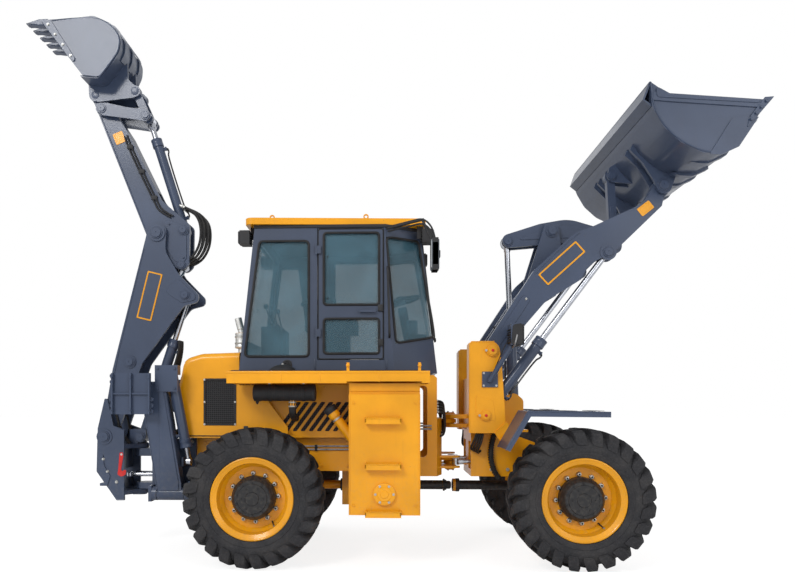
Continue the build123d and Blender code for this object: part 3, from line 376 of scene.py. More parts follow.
def rubber(name, colour, grain=300.0, dust=0.5, gloss=0.72):
    """Moulded rubber: fine grain, scuffs and patches of grey dust."""
    finish = Finish(name, Specular_IOR_Level=0.3)
    cloud = finish.noise(7.0, 5.0)
    fine = finish.noise(70.0, 4.0)
    dusty = (cloud.ramp(0.38, 0.72) * 0.6 + fine.ramp(0.5, 0.8) * 0.4) * dust
    base = finish.mix(shade(colour, 0.75), shade(colour, 1.25), fine.ramp(0.3, 0.7))
    finish.coat(Base_Color=finish.mix(base, (0.13, 0.12, 0.11, 1), dusty),
                Roughness=gloss + (fine - 0.5) * 0.2)
    finish.bump(finish.noise(grain, 3.0) * 0.7 + fine * 0.5, 0.25, 0.0012)
    return finish.material


def bare_metal(name, colour, rough=0.3, brushed=0.25):
    """Bare or plated metal with fine drawn lines and a little tarnish."""
    finish = Finish(name, Metallic=1.0)
    cloud = finish.noise(18.0, 5.0)
    lines = finish.noise(160.0, 3.0, stretch=(1.0, 1.0, 0.1))
    base = finish.mix(shade(colour, 0.78), shade(colour, 1.05), cloud.ramp(0.25, 0.65))
    finish.coat(Base_Color=base, Roughness=rough + lines * brushed * 0.4 + (1 - cloud.ramp(0.2, 0.6)) * 0.12)
    finish.bump(lines, brushed * 0.3, 0.0004)
    return finish.material


def moulded(name, colour, rough=0.55):
    """Textured moulded plastic with scuffed grain."""
    finish = Finish(name, Specular_IOR_Level=0.4)
    grain = finish.cells(650.0)
    cloud = finish.noise(9.0, 4.0)
    base = finish.mix(shade(colour, 0.8), shade(colour, 1.25), cloud.ramp(0.3, 0.75))
    finish.coat(Base_Color=base, Roughness=rough + cloud * 0.18 - grain * 0.05)
    finish.bump(grain, 0.06, 0.0003)
    return finish.material


def glazing(name, colour, alpha):
    """Tinted safety glass with a patchy dusty haze."""
    finish = Finish(name, Roughness=0.04, Specular_IOR_Level=0.7)
    haze = finish.noise(4.0, 5.0)
    film = finish.noise(90.0, 3.0)
    finish.coat(
        Base_Color=finish.mix(shade(colour, 0.85), shade(colour, 1.2), haze.ramp(0.35, 0.7)),
        Alpha=alpha + haze.ramp(0.4, 0.8) * 0.06 + film.ramp(0.5, 0.8) * 0.03,
    )
    return finish.material


def woven(name, colour):
    """Seat cloth: crossed yarns, a sheen and small colour changes from yarn to yarn."""
    finish = Finish(name, Roughness=0.88, Sheen_Weight=0.25, Sheen_Roughness=0.5)
    rib = [finish.node("ShaderNodeTexWave", {"bands_direction": way}, finish.place, 190.0, 0.6)
           for way in "YZ"]
    weave = rib[0] * rib[1]
    cloud = finish.noise(11.0, 5.0)
    base = finish.mix(shade(colour, 0.62), shade(colour, 1.2), weave.ramp(0.1, 0.8))
    finish.coat(Base_Color=finish.mix(base, shade(colour, 1.6), cloud.ramp(0.55, 0.9) * 0.4))
    finish.bump(weave, 0.5, 0.0009)
    return finish.material


def lens(name, colour):
    """Lamp glass with moulded ribs, its colour painted darker in the grooves and lighter on the crests as
    painted shade and highlight.
    """
    finish = Finish(name, Roughness=0.08, Coat_Weight=0.8)
    ribs = finish.node("ShaderNodeTexWave", {"bands_direction": "Y"}, finish.place, 55.0, 0.0)
    # colour follows the ribs: painted shade in the grooves and painted highlight on the crests
    finish.coat(Base_Color=finish.mix(shade(colour, 0.55), shade(colour, 1.15), ribs.ramp(0.2, 0.8)))
    finish.bump(ribs, 0.6, 0.002)
    return finish.material


def mesh_grille(name, colour):
    """Woven wire screen: painted wires, with the holes between them painted near black as the shade behind
    the screen.
    """
    finish = Finish(name, Specular_IOR_Level=0.35)
    wires = [finish.node("ShaderNodeTexWave", {"bands_direction": way, "wave_profile": "SIN"}, finish.place,
                         17.0, 0.0) for way in "XZ"]
    wire = wires[0].ramp(0.62, 0.85) + wires[1].ramp(0.62, 0.85)
    finish.coat(
        # near-black colour in the holes between the wires: painted shade of the space behind the screen
        Base_Color=finish.mix((0.004, 0.004, 0.005, 1), shade(colour, 1.0), wire.ramp(0.2, 0.8)),
        Roughness=0.85 - wire.ramp(0.2, 1.0) * 0.3,
    )
    finish.bump(wire, 0.8, 0.003)
    return finish.material


# ---------------------------------------------------------------- modelling
def alone(obj):
    """Leave one object selected and active."""
    bpy.ops.object.select_all(action="DESELECT")
    obj.select_set(True)
    bpy.context.view_layer.objects.active = obj
    return obj


def coated(obj, finish):
    """Give a part its only finish."""
    obj.data.materials.clear()
    obj.data.materials.append(FINISHES[finish])
    return obj


def placed(obj, matrix):
    """Put a part's place into its mesh."""
    obj.data.transform(matrix @ obj.matrix_world)
    obj.matrix_world = Matrix.Identity(4)
    return obj


def tidy_mesh(obj):
    """Merge doubled points and point the faces outwards."""
    alone(obj)
    bpy.ops.object.mode_set(mode="EDIT")
    bpy.ops.mesh.select_all(action="SELECT")
    bpy.ops.mesh.remove_doubles(threshold=0.00005)
    bpy.ops.mesh.normals_make_consistent(inside=False)
    bpy.ops.object.mode_set(mode="OBJECT")
    return obj


def modified(obj, kind, **settings):
    """Add a modifier and apply it."""
    alone(obj)
    modifier = obj.modifiers.new(kind.lower(), kind)
    for key, value in settings.items():
        setattr(modifier, key, value)
    bpy.ops.object.modifier_apply(modifier=modifier.name)
    return obj


def bevelled(obj, width, segments=2):
    """Round the sharp edges."""
    return modified(obj, "BEVEL", width=width * MM, segments=segments, limit_method="ANGLE", angle_limit=0.6)


def both_sides(obj):
    """Repeat a right-hand part on the left."""
    return modified(obj, "MIRROR", use_axis=(False, True, False), use_mirror_merge=False)


def joined(parts):
    """Make several parts one object."""
    bpy.ops.object.select_all(action="DESELECT")
    for part in parts:
        part.select_set(True)
    bpy.context.view_layer.objects.active = parts[0]
    if len(parts) > 1:
        bpy.ops.object.join()
    return parts[0]


def finished(parts, name, body, smooth=35, replaces=()):
    """Join the parts of a piece, shade them, name the piece and let it ride on a body."""
    obj = alone(joined(parts if isinstance(parts, list) else [parts]))
    obj.name = obj.data.name = name
    bpy.ops.object.shade_smooth_by_angle(angle=math.radians(smooth))
    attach(obj, body)
    if replaces:
        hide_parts(*replaces)
    obj.select_set(False)
    return obj


def brick(x_span, y_span, z_span, finish, edge=2.0, segments=2):
    """Square-cut part between limits along each axis, with rounded edges."""
    low, high = (at(*(span[end] for span in (x_span, y_span, z_span))) for end in (0, 1))
    bpy.ops.object.select_all(action="DESELECT")
    bpy.ops.mesh.primitive_cube_add(size=1, location=(low + high) / 2, scale=high - low)
    obj = placed(bpy.context.object, LEVEL)
    if edge:
        bevelled(obj, edge, segments)
    return coated(obj, finish)


def plate(rows, low, high, finish, plane=SIDE, holes=(), edge=1.5):
    """Plate cut to an outline, with holes; low and high are its two faces along the plane's normal."""
    curve = bpy.data.curves.new("outline", "CURVE")
    curve.dimensions = "2D"
    curve.fill_mode = "BOTH"
    curve.extrude = ((high - low) / 2 - edge) * MM
    curve.bevel_depth = edge * MM
    curve.bevel_resolution = 0
    curve.offset = -edge * MM
    for loop in (rows, *holes):
        corners = softened(loop)
        spline = curve.splines.new("POLY")
        spline.points.add(len(corners) - 1)
        for point, corner in zip(spline.points, corners):
            point.co = (corner.x * MM, corner.y * MM, 0, 1)
        spline.use_cyclic_u = True
    obj = bpy.data.objects.new("outline", curve)
    bpy.context.collection.objects.link(obj)
    alone(obj)
    bpy.ops.object.convert(target="MESH")
    obj = bpy.context.object
    middle = Matrix.Translation(at(0, 0, 0)) @ plane @ Matrix.Translation((0, 0, (low + high) / 2 * MM))
    obj.matrix_world = Matrix.Identity(4)
    placed(obj, middle)
    return coated(tidy_mesh(obj), finish)


def turned(rows, matrix, finish, steps=32):
    """Part turned about its own upward axis; rows are (distance along it, radius) in millimetres."""
    bpy.ops.object.select_all(action="DESELECT")
    bpy.ops.mesh.primitive_plane_add(size=0.01)
    obj = bpy.context.object
    bpy.ops.object.mode_set(mode="EDIT")
    bpy.ops.mesh.select_all(action="SELECT")
    bpy.ops.mesh.merge(type="CENTER")
    bpy.ops.transform.translate(value=(rows[0][1] * MM, 0, rows[0][0] * MM))
    for before, after in zip(rows, rows[1:]):
        step = ((after[1] - before[1]) * MM, 0, (after[0] - before[0]) * MM)
        bpy.ops.mesh.extrude_vertices_move(TRANSFORM_OT_translate={"value": step})
    bpy.ops.mesh.select_all(action="SELECT")
    bpy.ops.mesh.spin(steps=steps, angle=math.tau, center=(0, 0, 0), axis=(0, 0, 1))
    bpy.ops.object.mode_set(mode="OBJECT")
    tidy_mesh(obj)
    placed(obj, matrix)
    return coated(obj, finish)


def pipe(points, radius, finish, smooth=True, sides=2, closed=False):
    """Bent pipe or held hose through points given in metres."""
    curve = bpy.data.curves.new("pipe", "CURVE")
    curve.dimensions = "3D"
    curve.bevel_depth = radius * MM
    curve.bevel_resolution = sides
    curve.resolution_u = 6
    curve.use_fill_caps = not closed
    spline = curve.splines.new("NURBS" if smooth else "POLY")
    spline.points.add(len(points) - 1)
    for point, place in zip(spline.points, points):
        point.co = (*place, 1)
    if smooth:
        spline.order_u = 3
        spline.use_endpoint_u = True
    spline.use_cyclic_u = closed
    obj = bpy.data.objects.new("pipe", curve)
    bpy.context.collection.objects.link(obj)
    alone(obj)
    bpy.ops.object.convert(target="MESH")
    return coated(tidy_mesh(bpy.context.object), finish)


def copies(master, matrices):
    """Repeat a part at each placement, as one object, and drop the first."""
    out = []
    for matrix in matrices:
        copy = master.copy()
        copy.data = master.data.copy()
        bpy.context.collection.objects.link(copy)
        copy.data.transform(matrix)
        out.append(copy)
    bpy.data.objects.remove(master)
    return joined(out)


def bolts(places, axis, size, finish="zinc"):
    """Hexagon heads on washers at places in metres."""
    bpy.ops.object.select_all(action="DESELECT")
    bpy.ops.mesh.primitive_cylinder_add(vertices=6, radius=size * 0.6 * MM, depth=size * 0.5 * MM,
                                        location=(0, 0, size * 0.4 * MM))
    head = bevelled(placed(bpy.context.object, LEVEL), size * 0.07, 1)
    bpy.ops.object.select_all(action="DESELECT")
    bpy.ops.mesh.primitive_cylinder_add(vertices=14, radius=size * 0.78 * MM, depth=size * 0.16 * MM,
                                        location=(0, 0, size * 0.08 * MM))
    washer = placed(bpy.context.object, LEVEL)
    head, washer = coated(head, finish), coated(washer, finish)
    return copies(joined([head, washer]), [facing(axis, Vector(place)) for place in places])


def pin_heads(places, axis, radius, finish="slate"):
    """Ends of pivot pins: collar, raised end and grease dimple."""
    rows = [(0, 0), (0, radius + 12), (5, radius + 12), (8, radius + 9), (8, radius), (15, radius),
            (18, radius - 3), (18, 7), (15, 5), (15, 0)]
    head = turned(rows, LEVEL, finish, 24)
    return copies(head, [facing(axis, Vector(place)) for place in places])


def seal(rows, surface, radius):
    """Rubber bead round an opening; a surface gives the place of each point of the outline."""
    corners = softened(rows)
    return pipe([surface(corner.x, corner.y) for corner in corners], radius, "seal", False, closed=True)


def shaft_joint(x, flange):
    """Flanged joint of the drive line, centred at x."""
    rows = [(0, 42), (4, flange), (18, flange), (22, 50), (34, 50), (38, 42)]
    return turned(rows, facing(FORWARD, at(x - 19, 0, DRIVE_LINE_Z)), "cast", 24)


def shaft_sleeve(x, length):
    """Paint-black sleeve over a drive shaft, running forward from x."""
    rows = [(0, 43), (1, 45), (length - 1, 45), (length, 43)]
    return turned(rows, facing(FORWARD, at(x, 0, DRIVE_LINE_Z)), "cast", 24)


def cab_side(x, z):
    """Point just outside the cab's right-hand side."""
    return at(x, -CAB_SIDE_Y, z)


def quarter_face(x, z):
    """Point just outside the cab's slanting front quarter, on the right."""
    rise = (z - CAB_FLOOR_Z) / 1316
    rear, front = 1192 - 82 * rise, 1592 - 157 * rise
    share = (x - rear) / (front - rear)
    return at(x + 2, -CAB_SIDE_Y + (260 - 49 * rise) * share, z)


def leaning_plate(centre, lean, size, y, field, border):
    """Blank plate with a raised border on a right-hand side face, leaning by some degrees."""
    turn = math.radians(lean)

    def rows(shrink, radius):
        """Outline of the plate made smaller all round, with one corner radius."""
        half = [length / 2 - shrink for length in size]
        return [(centre[0] + across * half[0] * math.cos(turn) - up * half[1] * math.sin(turn),
                 centre[1] + across * half[0] * math.sin(turn) + up * half[1] * math.cos(turn), radius)
                for across, up in ((-1, -1), (1, -1), (1, 1), (-1, 1))]

    edging = plate(rows(0, 12), y, y + 5, border, SIDE, [rows(14, 8)], 1)
    middle = plate(rows(13, 8), y, y + 3, field, SIDE, edge=0.6)
    return joined([edging, middle])


def cylinder_fittings(start, end, tube, radius, low=130, turn=0):
    """Gland, two ports and the pipe between them for a cylinder's tube that runs from start towards end."""
    gland = turned([(tube - 78, radius + 1), (tube - 75, radius + 8.5), (tube - 46, radius + 8.5),
                    (tube - 44, radius + 7.4), (tube - 14, radius + 7.4), (tube - 11, radius + 9),
                    (tube + 2, radius + 8), (tube + 4, radius - 6), (tube + 4, radius - 16)], LEVEL, "slate")
    ports = [turned([(0, 17), (18, 17), (20, 21), (32, 21), (32, 0)],
                    facing(RIGHT, Vector((0, -(radius - 4) * MM, along * MM))), "slate", 6)
             for along in (low, tube - 110)]
    bends = ((26, low), (38, low + 2), (38, low + 42), (16, low + 72), (16, tube - 180), (38, tube - 150),
             (38, tube - 112), (26, tube - 110))
    line = pipe([Vector((0, -(radius + reach) * MM, along * MM)) for reach, along in bends], 8, "cast")
    place = facing(end - start, start) @ Matrix.Rotation(math.radians(turn), 4, "Z")
    return placed(joined([gland, line] + ports), place)


FINISHES = {}


# ---------------------------------------------------------------- settings
class BackhoeColours(bpy.types.PropertyGroup):
    """Colours of the finishes, in linear light."""

    yellow: bpy.props.FloatVectorProperty(
        name="Body yellow", description="Paint of the frame, bodywork and rims", subtype="COLOR",
        default=(0.74, 0.315, 0.004), min=0, max=1)
    slate: bpy.props.FloatVectorProperty(
        name="Implement slate", description="Paint of the loader and backhoe", subtype="COLOR",
        default=(0.043, 0.060, 0.104), min=0, max=1)
    cab: bpy.props.FloatVectorProperty(
        name="Cab slate", description="Paint of the cab", subtype="COLOR", default=(0.044, 0.058, 0.094),
        min=0, max=1)
    rubber: bpy.props.FloatVectorProperty(
        name="Tyre rubber", description="Colour of the tyres", subtype="COLOR", default=(0.019, 0.019, 0.022),
        min=0, max=1)
    glass: bpy.props.FloatVectorProperty(
        name="Glass tint", description="Tint of the cab windows", subtype="COLOR",
        default=(0.055, 0.13, 0.175), min=0, max=1)
    cloth: bpy.props.FloatVectorProperty(
        name="Seat cloth", description="Colour of the operator's seat", subtype="COLOR",
        default=(0.075, 0.090, 0.115), min=0, max=1)


class BackhoeSizes(bpy.types.PropertyGroup):
    """Sizes of the repeated pieces."""

    lugs: bpy.props.IntProperty(
        name="Lugs on a side", description="Tread lugs on each side of a tyre", default=24, min=12, max=40)
    nuts: bpy.props.IntProperty(
        name="Wheel nuts", description="Nuts that hold a rim", default=12, min=6, max=20)
    nut_circle: bpy.props.FloatProperty(
        name="Nut circle", description="Radius of the circle of wheel nuts", default=0.206, unit="LENGTH")
    hose: bpy.props.FloatProperty(
        name="Hose radius", description="Radius of a hydraulic hose", default=0.011, unit="LENGTH")
    window_seal: bpy.props.FloatProperty(
        name="Window seal", description="Width of the rubber round a window", default=0.022, unit="LENGTH")


class BACKHOE_OT_finishes(bpy.types.Operator):
    """Make the finishes and give them to the frame's own nodes"""

    bl_idname = "backhoe.finishes"
    bl_label = "Finishes"

    def execute(self, context):
        colours = context.scene.backhoe_colours
        FINISHES.update({
            "yellow": painted("paint_yellow", colours.yellow, 0.36, 0.14),
            "slate": painted("paint_slate", colours.slate, 0.40, 0.16),
            "cab": painted("paint_cab", colours.cab, 0.34, 0.12),
            "red": painted("paint_red", (0.55, 0.012, 0.010), 0.35, 0.2),
            "tyre": rubber("tyre_rubber", colours.rubber, 300.0, 0.20),
            "seal": rubber("window_rubber", (0.012, 0.012, 0.013), 500.0, 0.12, 0.6),
            "hose": rubber("hose_rubber", (0.014, 0.014, 0.015), 700.0, 0.15, 0.5),
            "black": moulded("black_plastic", (0.016, 0.016, 0.018)),
            "grey": moulded("grey_plastic", (0.10, 0.11, 0.13)),
            "console": moulded("console_plastic", (0.055, 0.062, 0.075)),
            "cast": painted("paint_black", (0.012, 0.012, 0.014), 0.5, 0.15),
            "chrome": bare_metal("chrome", (0.50, 0.52, 0.57), 0.22, 0.1),
            "zinc": bare_metal("zinc_plate", (0.52, 0.52, 0.50), 0.38, 0.5),
            "steel": bare_metal("worn_steel", (0.36, 0.36, 0.37), 0.45, 0.9),
            "silver": bare_metal("silver_exhaust", (0.72, 0.72, 0.70), 0.33, 0.5),
            "glass": glazing("glass", colours.glass, 0.50),
            "mirror": bare_metal("mirror_glass", (0.75, 0.78, 0.80), 0.03, 0.0),
            "lens": lens("lamp_lens", (0.75, 0.76, 0.74)),
            "amber": lens("amber_lens", (0.8, 0.22, 0.01)),
            "cloth": woven("seat_cloth", colours.cloth),
            "screen": mesh_grille("grille_screen", (0.03, 0.03, 0.033)),
        })
        by_slot = {"paint_yellow": "yellow", "paint_slate": "slate", "paint_cab": "cab",
                   "tyre_rubber": "tyre", "glass": "glass", "chrome": "chrome", "black_plastic": "black"}
        slots = {part["node"]: part["material_slot"] for part in frame["record"]["subparts"]}
        for name, obj in frame["nodes"].items():
            coated(obj, by_slot[slots[name]])
        return {"FINISHED"}


class BACKHOE_OT_tyres(bpy.types.Operator):
    """Model the lugged tyres and repeat them on the four wheels"""

    bl_idname = "backhoe.tyres"
    bl_label = "Tyres"

    def execute(self, context):
        half = [(150, 330), (158, 350), (186, 356), (196, 372), (201, 400), (197, 404), (203, 430),
                (203, 452), (196, 476), (183, 498), (167, 520), (150, 538), (110, 550), (40, 557)]
        section = [(-out, radius) for out, radius in half] + half[::-1] + [(-150, 330)]
        parts = [turned(section, facing(LEFT), "tyre", 96)]
        stations = [
            # from the middle plane, top radius, foot radius, lag round the tyre, half width
            (-14, 593, 546, 0, 17),
            (40, 595, 544, 22, 22),
            (95, 594, 540, 48, 28),
            (145, 591, 528, 72, 36),
            (180, 583, 508, 88, 42),
            (200, 563, 490, 96, 43),
            (209, 530, 474, 100, 41),
            (207, 484, 458, 102, 33),
        ]
        for hand in (-1, 1):
            bpy.ops.object.select_all(action="DESELECT")
            bpy.ops.mesh.primitive_cube_add(size=2)
            lug = bpy.context.object
            lug.data.transform(Matrix.Scale(0.5 * (len(stations) - 1), 4, (1, 0, 0)))
            for cut in range(1, len(stations) - 1):
                alone(lug)
                bpy.ops.object.mode_set(mode="EDIT")
                bpy.ops.mesh.select_all(action="SELECT")
                bpy.ops.mesh.bisect(plane_co=(cut - (len(stations) - 1) / 2, 0, 0), plane_no=(1, 0, 0))
                bpy.ops.object.mode_set(mode="OBJECT")
            for corner in lug.data.vertices:
                row = stations[round(corner.co.x + (len(stations) - 1) / 2)]
                top = corner.co.z > 0
                radius = (row[1] if top else row[2]) * MM
                lag = (row[3] + corner.co.y * (row[4] if top else row[4] + 5)) * MM / radius
                corner.co = (radius * math.sin(lag), hand * row[0] * MM, radius * math.cos(lag))
            tidy_mesh(lug)
            bevelled(lug, 4, 1)
            coated(lug, "tyre")
            count = context.scene.backhoe_sizes.lugs
            turns = [(index + (hand + 1) / 4) * math.tau / count for index in range(count)]
            parts.append(copies(lug, [Matrix.Rotation(turn, 4, "Y") for turn in turns]))
        master = joined(parts)
        for name, (axle_x, hand) in WHEELS.items():
            tyre = master.copy()
            tyre.data = master.data.copy()
            context.collection.objects.link(tyre)
            tyre.data.transform(Matrix.Translation(at(axle_x, hand * HALF_TRACK, AXLE_Z)))
            finished(tyre, f"lugged_tyre_{name}", f"wheel_{name}", 28, (f"tyre_{name}",))
        bpy.data.objects.remove(master)
        return {"FINISHED"}


class BACKHOE_OT_wheel_fittings(bpy.types.Operator):
    """Model the hubs, wheel nuts, lock rings and valves"""

    bl_idname = "backhoe.wheel_fittings"
    bl_label = "Hubs and wheel nuts"

    def execute(self, context):
        sizes = context.scene.backhoe_sizes
        hub = turned([(30, 186), (100, 186), (112, 183), (120, 177), (142, 165), (154, 157), (160, 150),
                      (160, 128), (165, 124), (165, 60), (171, 55), (171, 0)], facing(RIGHT), "cast", 48)
        plugs = bolts([(0.139 * math.cos(turn), -0.160, 0.139 * math.sin(turn))
                       for turn in (math.tau * (step + 0.5) / 10 for step in range(10))], RIGHT, 13, "cast")
        cap_bolts = bolts([(0.094 * math.cos(turn), -0.165, 0.094 * math.sin(turn))
                           for turn in (math.tau * step / 6 for step in range(6))], RIGHT, 11, "cast")
        nut = turned([(32, 8), (32, 21), (46, 21), (50, 17), (64, 16), (66, 13), (66, 7), (60, 6), (60, 0)],
                     LEVEL, "zinc", 12)
        # black disc in the end of each nut: painted shade of the nut's bore
        bore_shade_disc = turned([(60.5, 0), (60.5, 8), (66.6, 8.4), (66.6, 0)], LEVEL, "black", 12)
        nuts = copies(joined([nut, bore_shade_disc]), [
            facing(RIGHT, Vector((sizes.nut_circle * math.cos(turn), 0, sizes.nut_circle * math.sin(turn))))
            for turn in (math.tau * (step + 0.1) / sizes.nuts for step in range(sizes.nuts))])
        lock = turned([(158, 350), (168, 354), (178, 350), (181, 341), (176, 331), (164, 322), (150, 316),
                       (140, 308), (132, 304)], facing(RIGHT), "yellow", 96)
        stem = pipe([Vector((0.150, -0.034, -0.205)), Vector((0.165, -0.075, -0.222)),
                     Vector((0.178, -0.110, -0.238))], 6, "black")
        clip = turned([(0, 10), (16, 10), (16, 7), (30, 6), (30, 0)],
                      facing((0.4, -0.8, -0.45), Vector((0.176, -0.105, -0.235))), "zinc", 10)
        master = joined([hub, plugs, cap_bolts, nuts, lock, stem, clip])
        for name, (axle_x, hand) in WHEELS.items():
            piece = master.copy()
            piece.data = master.data.copy()
            context.collection.objects.link(piece)
            turn = Matrix.Rotation(math.pi if hand > 0 else 0, 4, "Z")
            place = Matrix.Translation(at(axle_x, hand * HALF_TRACK, AXLE_Z))
            piece.data.transform(place @ turn)
            finished(piece, f"hub_and_nuts_{name}", f"wheel_{name}", 35)
        bpy.data.objects.remove(master)
        return {"FINISHED"}


class BACKHOE_OT_cab_seals(bpy.types.Operator):
    """Lay the rubber seals round the windows and the door"""

    bl_idname = "backhoe.cab_seals"
    bl_label = "Cab seals"

    def execute(self, context):
        width = context.scene.backhoe_sizes.window_seal / MM / 2
        fixed = [
            both_sides(seal(SIDE_WINDOW, cab_side, width)),
            both_sides(seal([(1122, 2876, 40), (1414, 2876, 40), (1562, 2006, 50), (1208, 1932, 40)],
                            quarter_face, width)),
            seal(DOORWAY_WINDOW, lambda x, z: at(x, CAB_SIDE_Y, z), width),
            seal([(-355, 1990, 50), (355, 1990, 50), (385, 2890, 50), (-385, 2890, 50)],
                 lambda y, z: at(1594 - 0.1193 * (z - CAB_FLOOR_Z), y, z), width),
            seal(oblong((-540, 1960), (540, 2870), 50),
                 lambda y, z: at(-201 + 0.1102 * (z - CAB_FLOOR_Z), y, z), width),
        ]
        finished(fixed, "window_seals", "root")
        panes = [seal(oblong((566, low), (1058, high), 30), cab_side, width) for low, high in DOOR_PANES]
        edge = seal(oblong((515, 1792), (1095, 2951), 25), lambda x, z: at(x, -640, z), 5)
        pads = [brick((1048, 1094), (-660, -640), (z, z + 62), "black", 5) for z in (1905, 2213)]
        bar = pipe(route([(600, -625, 2330), (600, -598, 2345), (600, -598, 2700), (600, -625, 2715)]), 9,
                   "black")
        finished(panes + [edge, bar] + pads, "door_seals_and_latches", "door")
        return {"FINISHED"}


class BACKHOE_OT_cab_trim(bpy.types.Operator):
    """Fit the gutter, roof panels, rails, wiper and vents of the cab"""

    bl_idname = "backhoe.cab_trim"
    bl_label = "Cab trim"

    def execute(self, context):
        gutter = plate([(-64, -650), (1114, -650), (1446, -440), (1446, 440), (1114, 650), (-64, 650)],
                       2962, 2990, "black", LEVEL, edge=3)
        roof_edge = plate([(-130, -684, 60), (1471, -594, 60), (1471, 594, 60), (-130, 684, 60)],
                          3040, 3050, "yellow", LEVEL, edge=3)
        ribs = [plate([(low, -470, 50), (high, -455, 50), (high, 455, 50), (low, 470, 50)], 3048, 3060,
                      "yellow", LEVEL, edge=4) for low, high in ((-20, 420), (480, 860), (990, 1380))]
        cap = turned([(0, 0), (0, 48), (6, 48), (10, 40), (30, 37), (36, 30), (38, 0)],
                     Matrix.Translation(at(330, -300, 3058)), "amber")
        rail = both_sides(pipe(route([(1150, -640, 1985), (1152, -694, 1990), (1150, -694, 2080),
                                      (1138, -694, 2520), (1134, -694, 2600), (1134, -640, 2606)]), 10,
                               "black"))
        vent = turned([(0, 44), (7, 44), (9, 38), (9, 30), (3, 28), (3, 10), (8, 8), (8, 0)],
                      facing(RIGHT, at(238, -640, 1742)), "black", 24)
        fins = [brick((200, 276), (-647, -641), (1712 + 14 * step, 1717 + 14 * step), "black", 1)
                for step in range(5)]
        skirt = both_sides(brick((-190, 1188), (-646, -638), (1674, 1694), "black", 3))
        posts = [both_sides(brick((x, x + 14), (-648, -640), (1700, 1790), "cab", 2)) for x in (480, 1116)]
        arm = pipe(route([(1588, -60, 2010), (1596, -60, 2040), (1558, 40, 2330), (1530, 70, 2480)]), 6,
                   "black")
        blade = pipe(route([(1568, 20, 2180), (1533, 70, 2480), (1497, 120, 2760)]), 8, "black")
        hub = turned([(0, 24), (14, 24), (20, 16), (20, 0)], facing((1, 0, 0.12), at(1583, -60, 2010)),
                     "black", 20)
        hatch = brick((-210, -190), (-430, 430), (1700, 1930), "cab", 6)
        hatch_bolts = bolts([at(-188, y, z) for y in (-400, 400) for z in (1730, 1900)], BACK, 12)
        finished([gutter, roof_edge, cap, rail, vent, skirt, arm, blade, hub, hatch,
                  hatch_bolts] + ribs + fins + posts, "cab_trim", "root")
        return {"FINISHED"}


class BACKHOE_OT_cab_lamps(bpy.types.Operator):
    """Fit the lamp bodies, lenses and mirrors of the cab"""

    bl_idname = "backhoe.cab_lamps"
    bl_label = "Cab lamps and mirrors"

    def execute(self, context):
        parts = []
        for x, y, z, way in ((-150, -560, 2890, -1), (1490, -520, 2900, 1)):
            face = x + way * 46
            outline = oblong((y - 66, z - 56), (y + 66, z + 56), 22)
            inner = oblong((y - 54, z - 44), (y + 54, z + 44), 18)
            span = sorted((face, face + way * 14))
            parts.append(both_sides(plate(outline, *span, "black", ACROSS, [inner], 3)))
            span = sorted((face, face + way * 7))
            parts.append(both_sides(plate(inner, *span, "lens", ACROSS, edge=2)))
            bowl = turned([(0, 30), (4, 40), (9, 42), (9, 36), (5, 20), (5, 0)],
                          facing((way, 0, 0), at(face + way * 6, y, z)), "silver", 24)
            parts.append(both_sides(bowl))
            fins = [brick(sorted((x - way * 58, x - way * 44)), (y - 52, y + 52),
                          (z - 44 + 20 * index, z - 38 + 20 * index), "black", 1) for index in range(5)]
            parts.append(both_sides(joined(fins)))
        outline = oblong((-1000, 2519), (-830, 2785), 40)
        inner = oblong((-990, 2529), (-840, 2775), 32)
        parts.append(both_sides(plate(outline, 1503, 1568, "grey", ACROSS, edge=10)))
        parts.append(both_sides(plate(inner, 1499, 1506, "mirror", ACROSS, edge=2)))
        arms = [pipe(route([(1140, -641, z), (1330, -800, z + 6), (1450, -900, z + 10), (1540, -915, z - 120),
                            (1545, -915, 2700)]), 8, "black") for z in (2925, 2965)]
        parts.append(both_sides(joined(arms)))
        clamp = brick((1545, 1580), (-945, -885), (2630, 2690), "black", 6)
        parts.append(both_sides(clamp))
        finished(parts, "cab_lamp_and_mirror_fittings", "root")
        return {"FINISHED"}


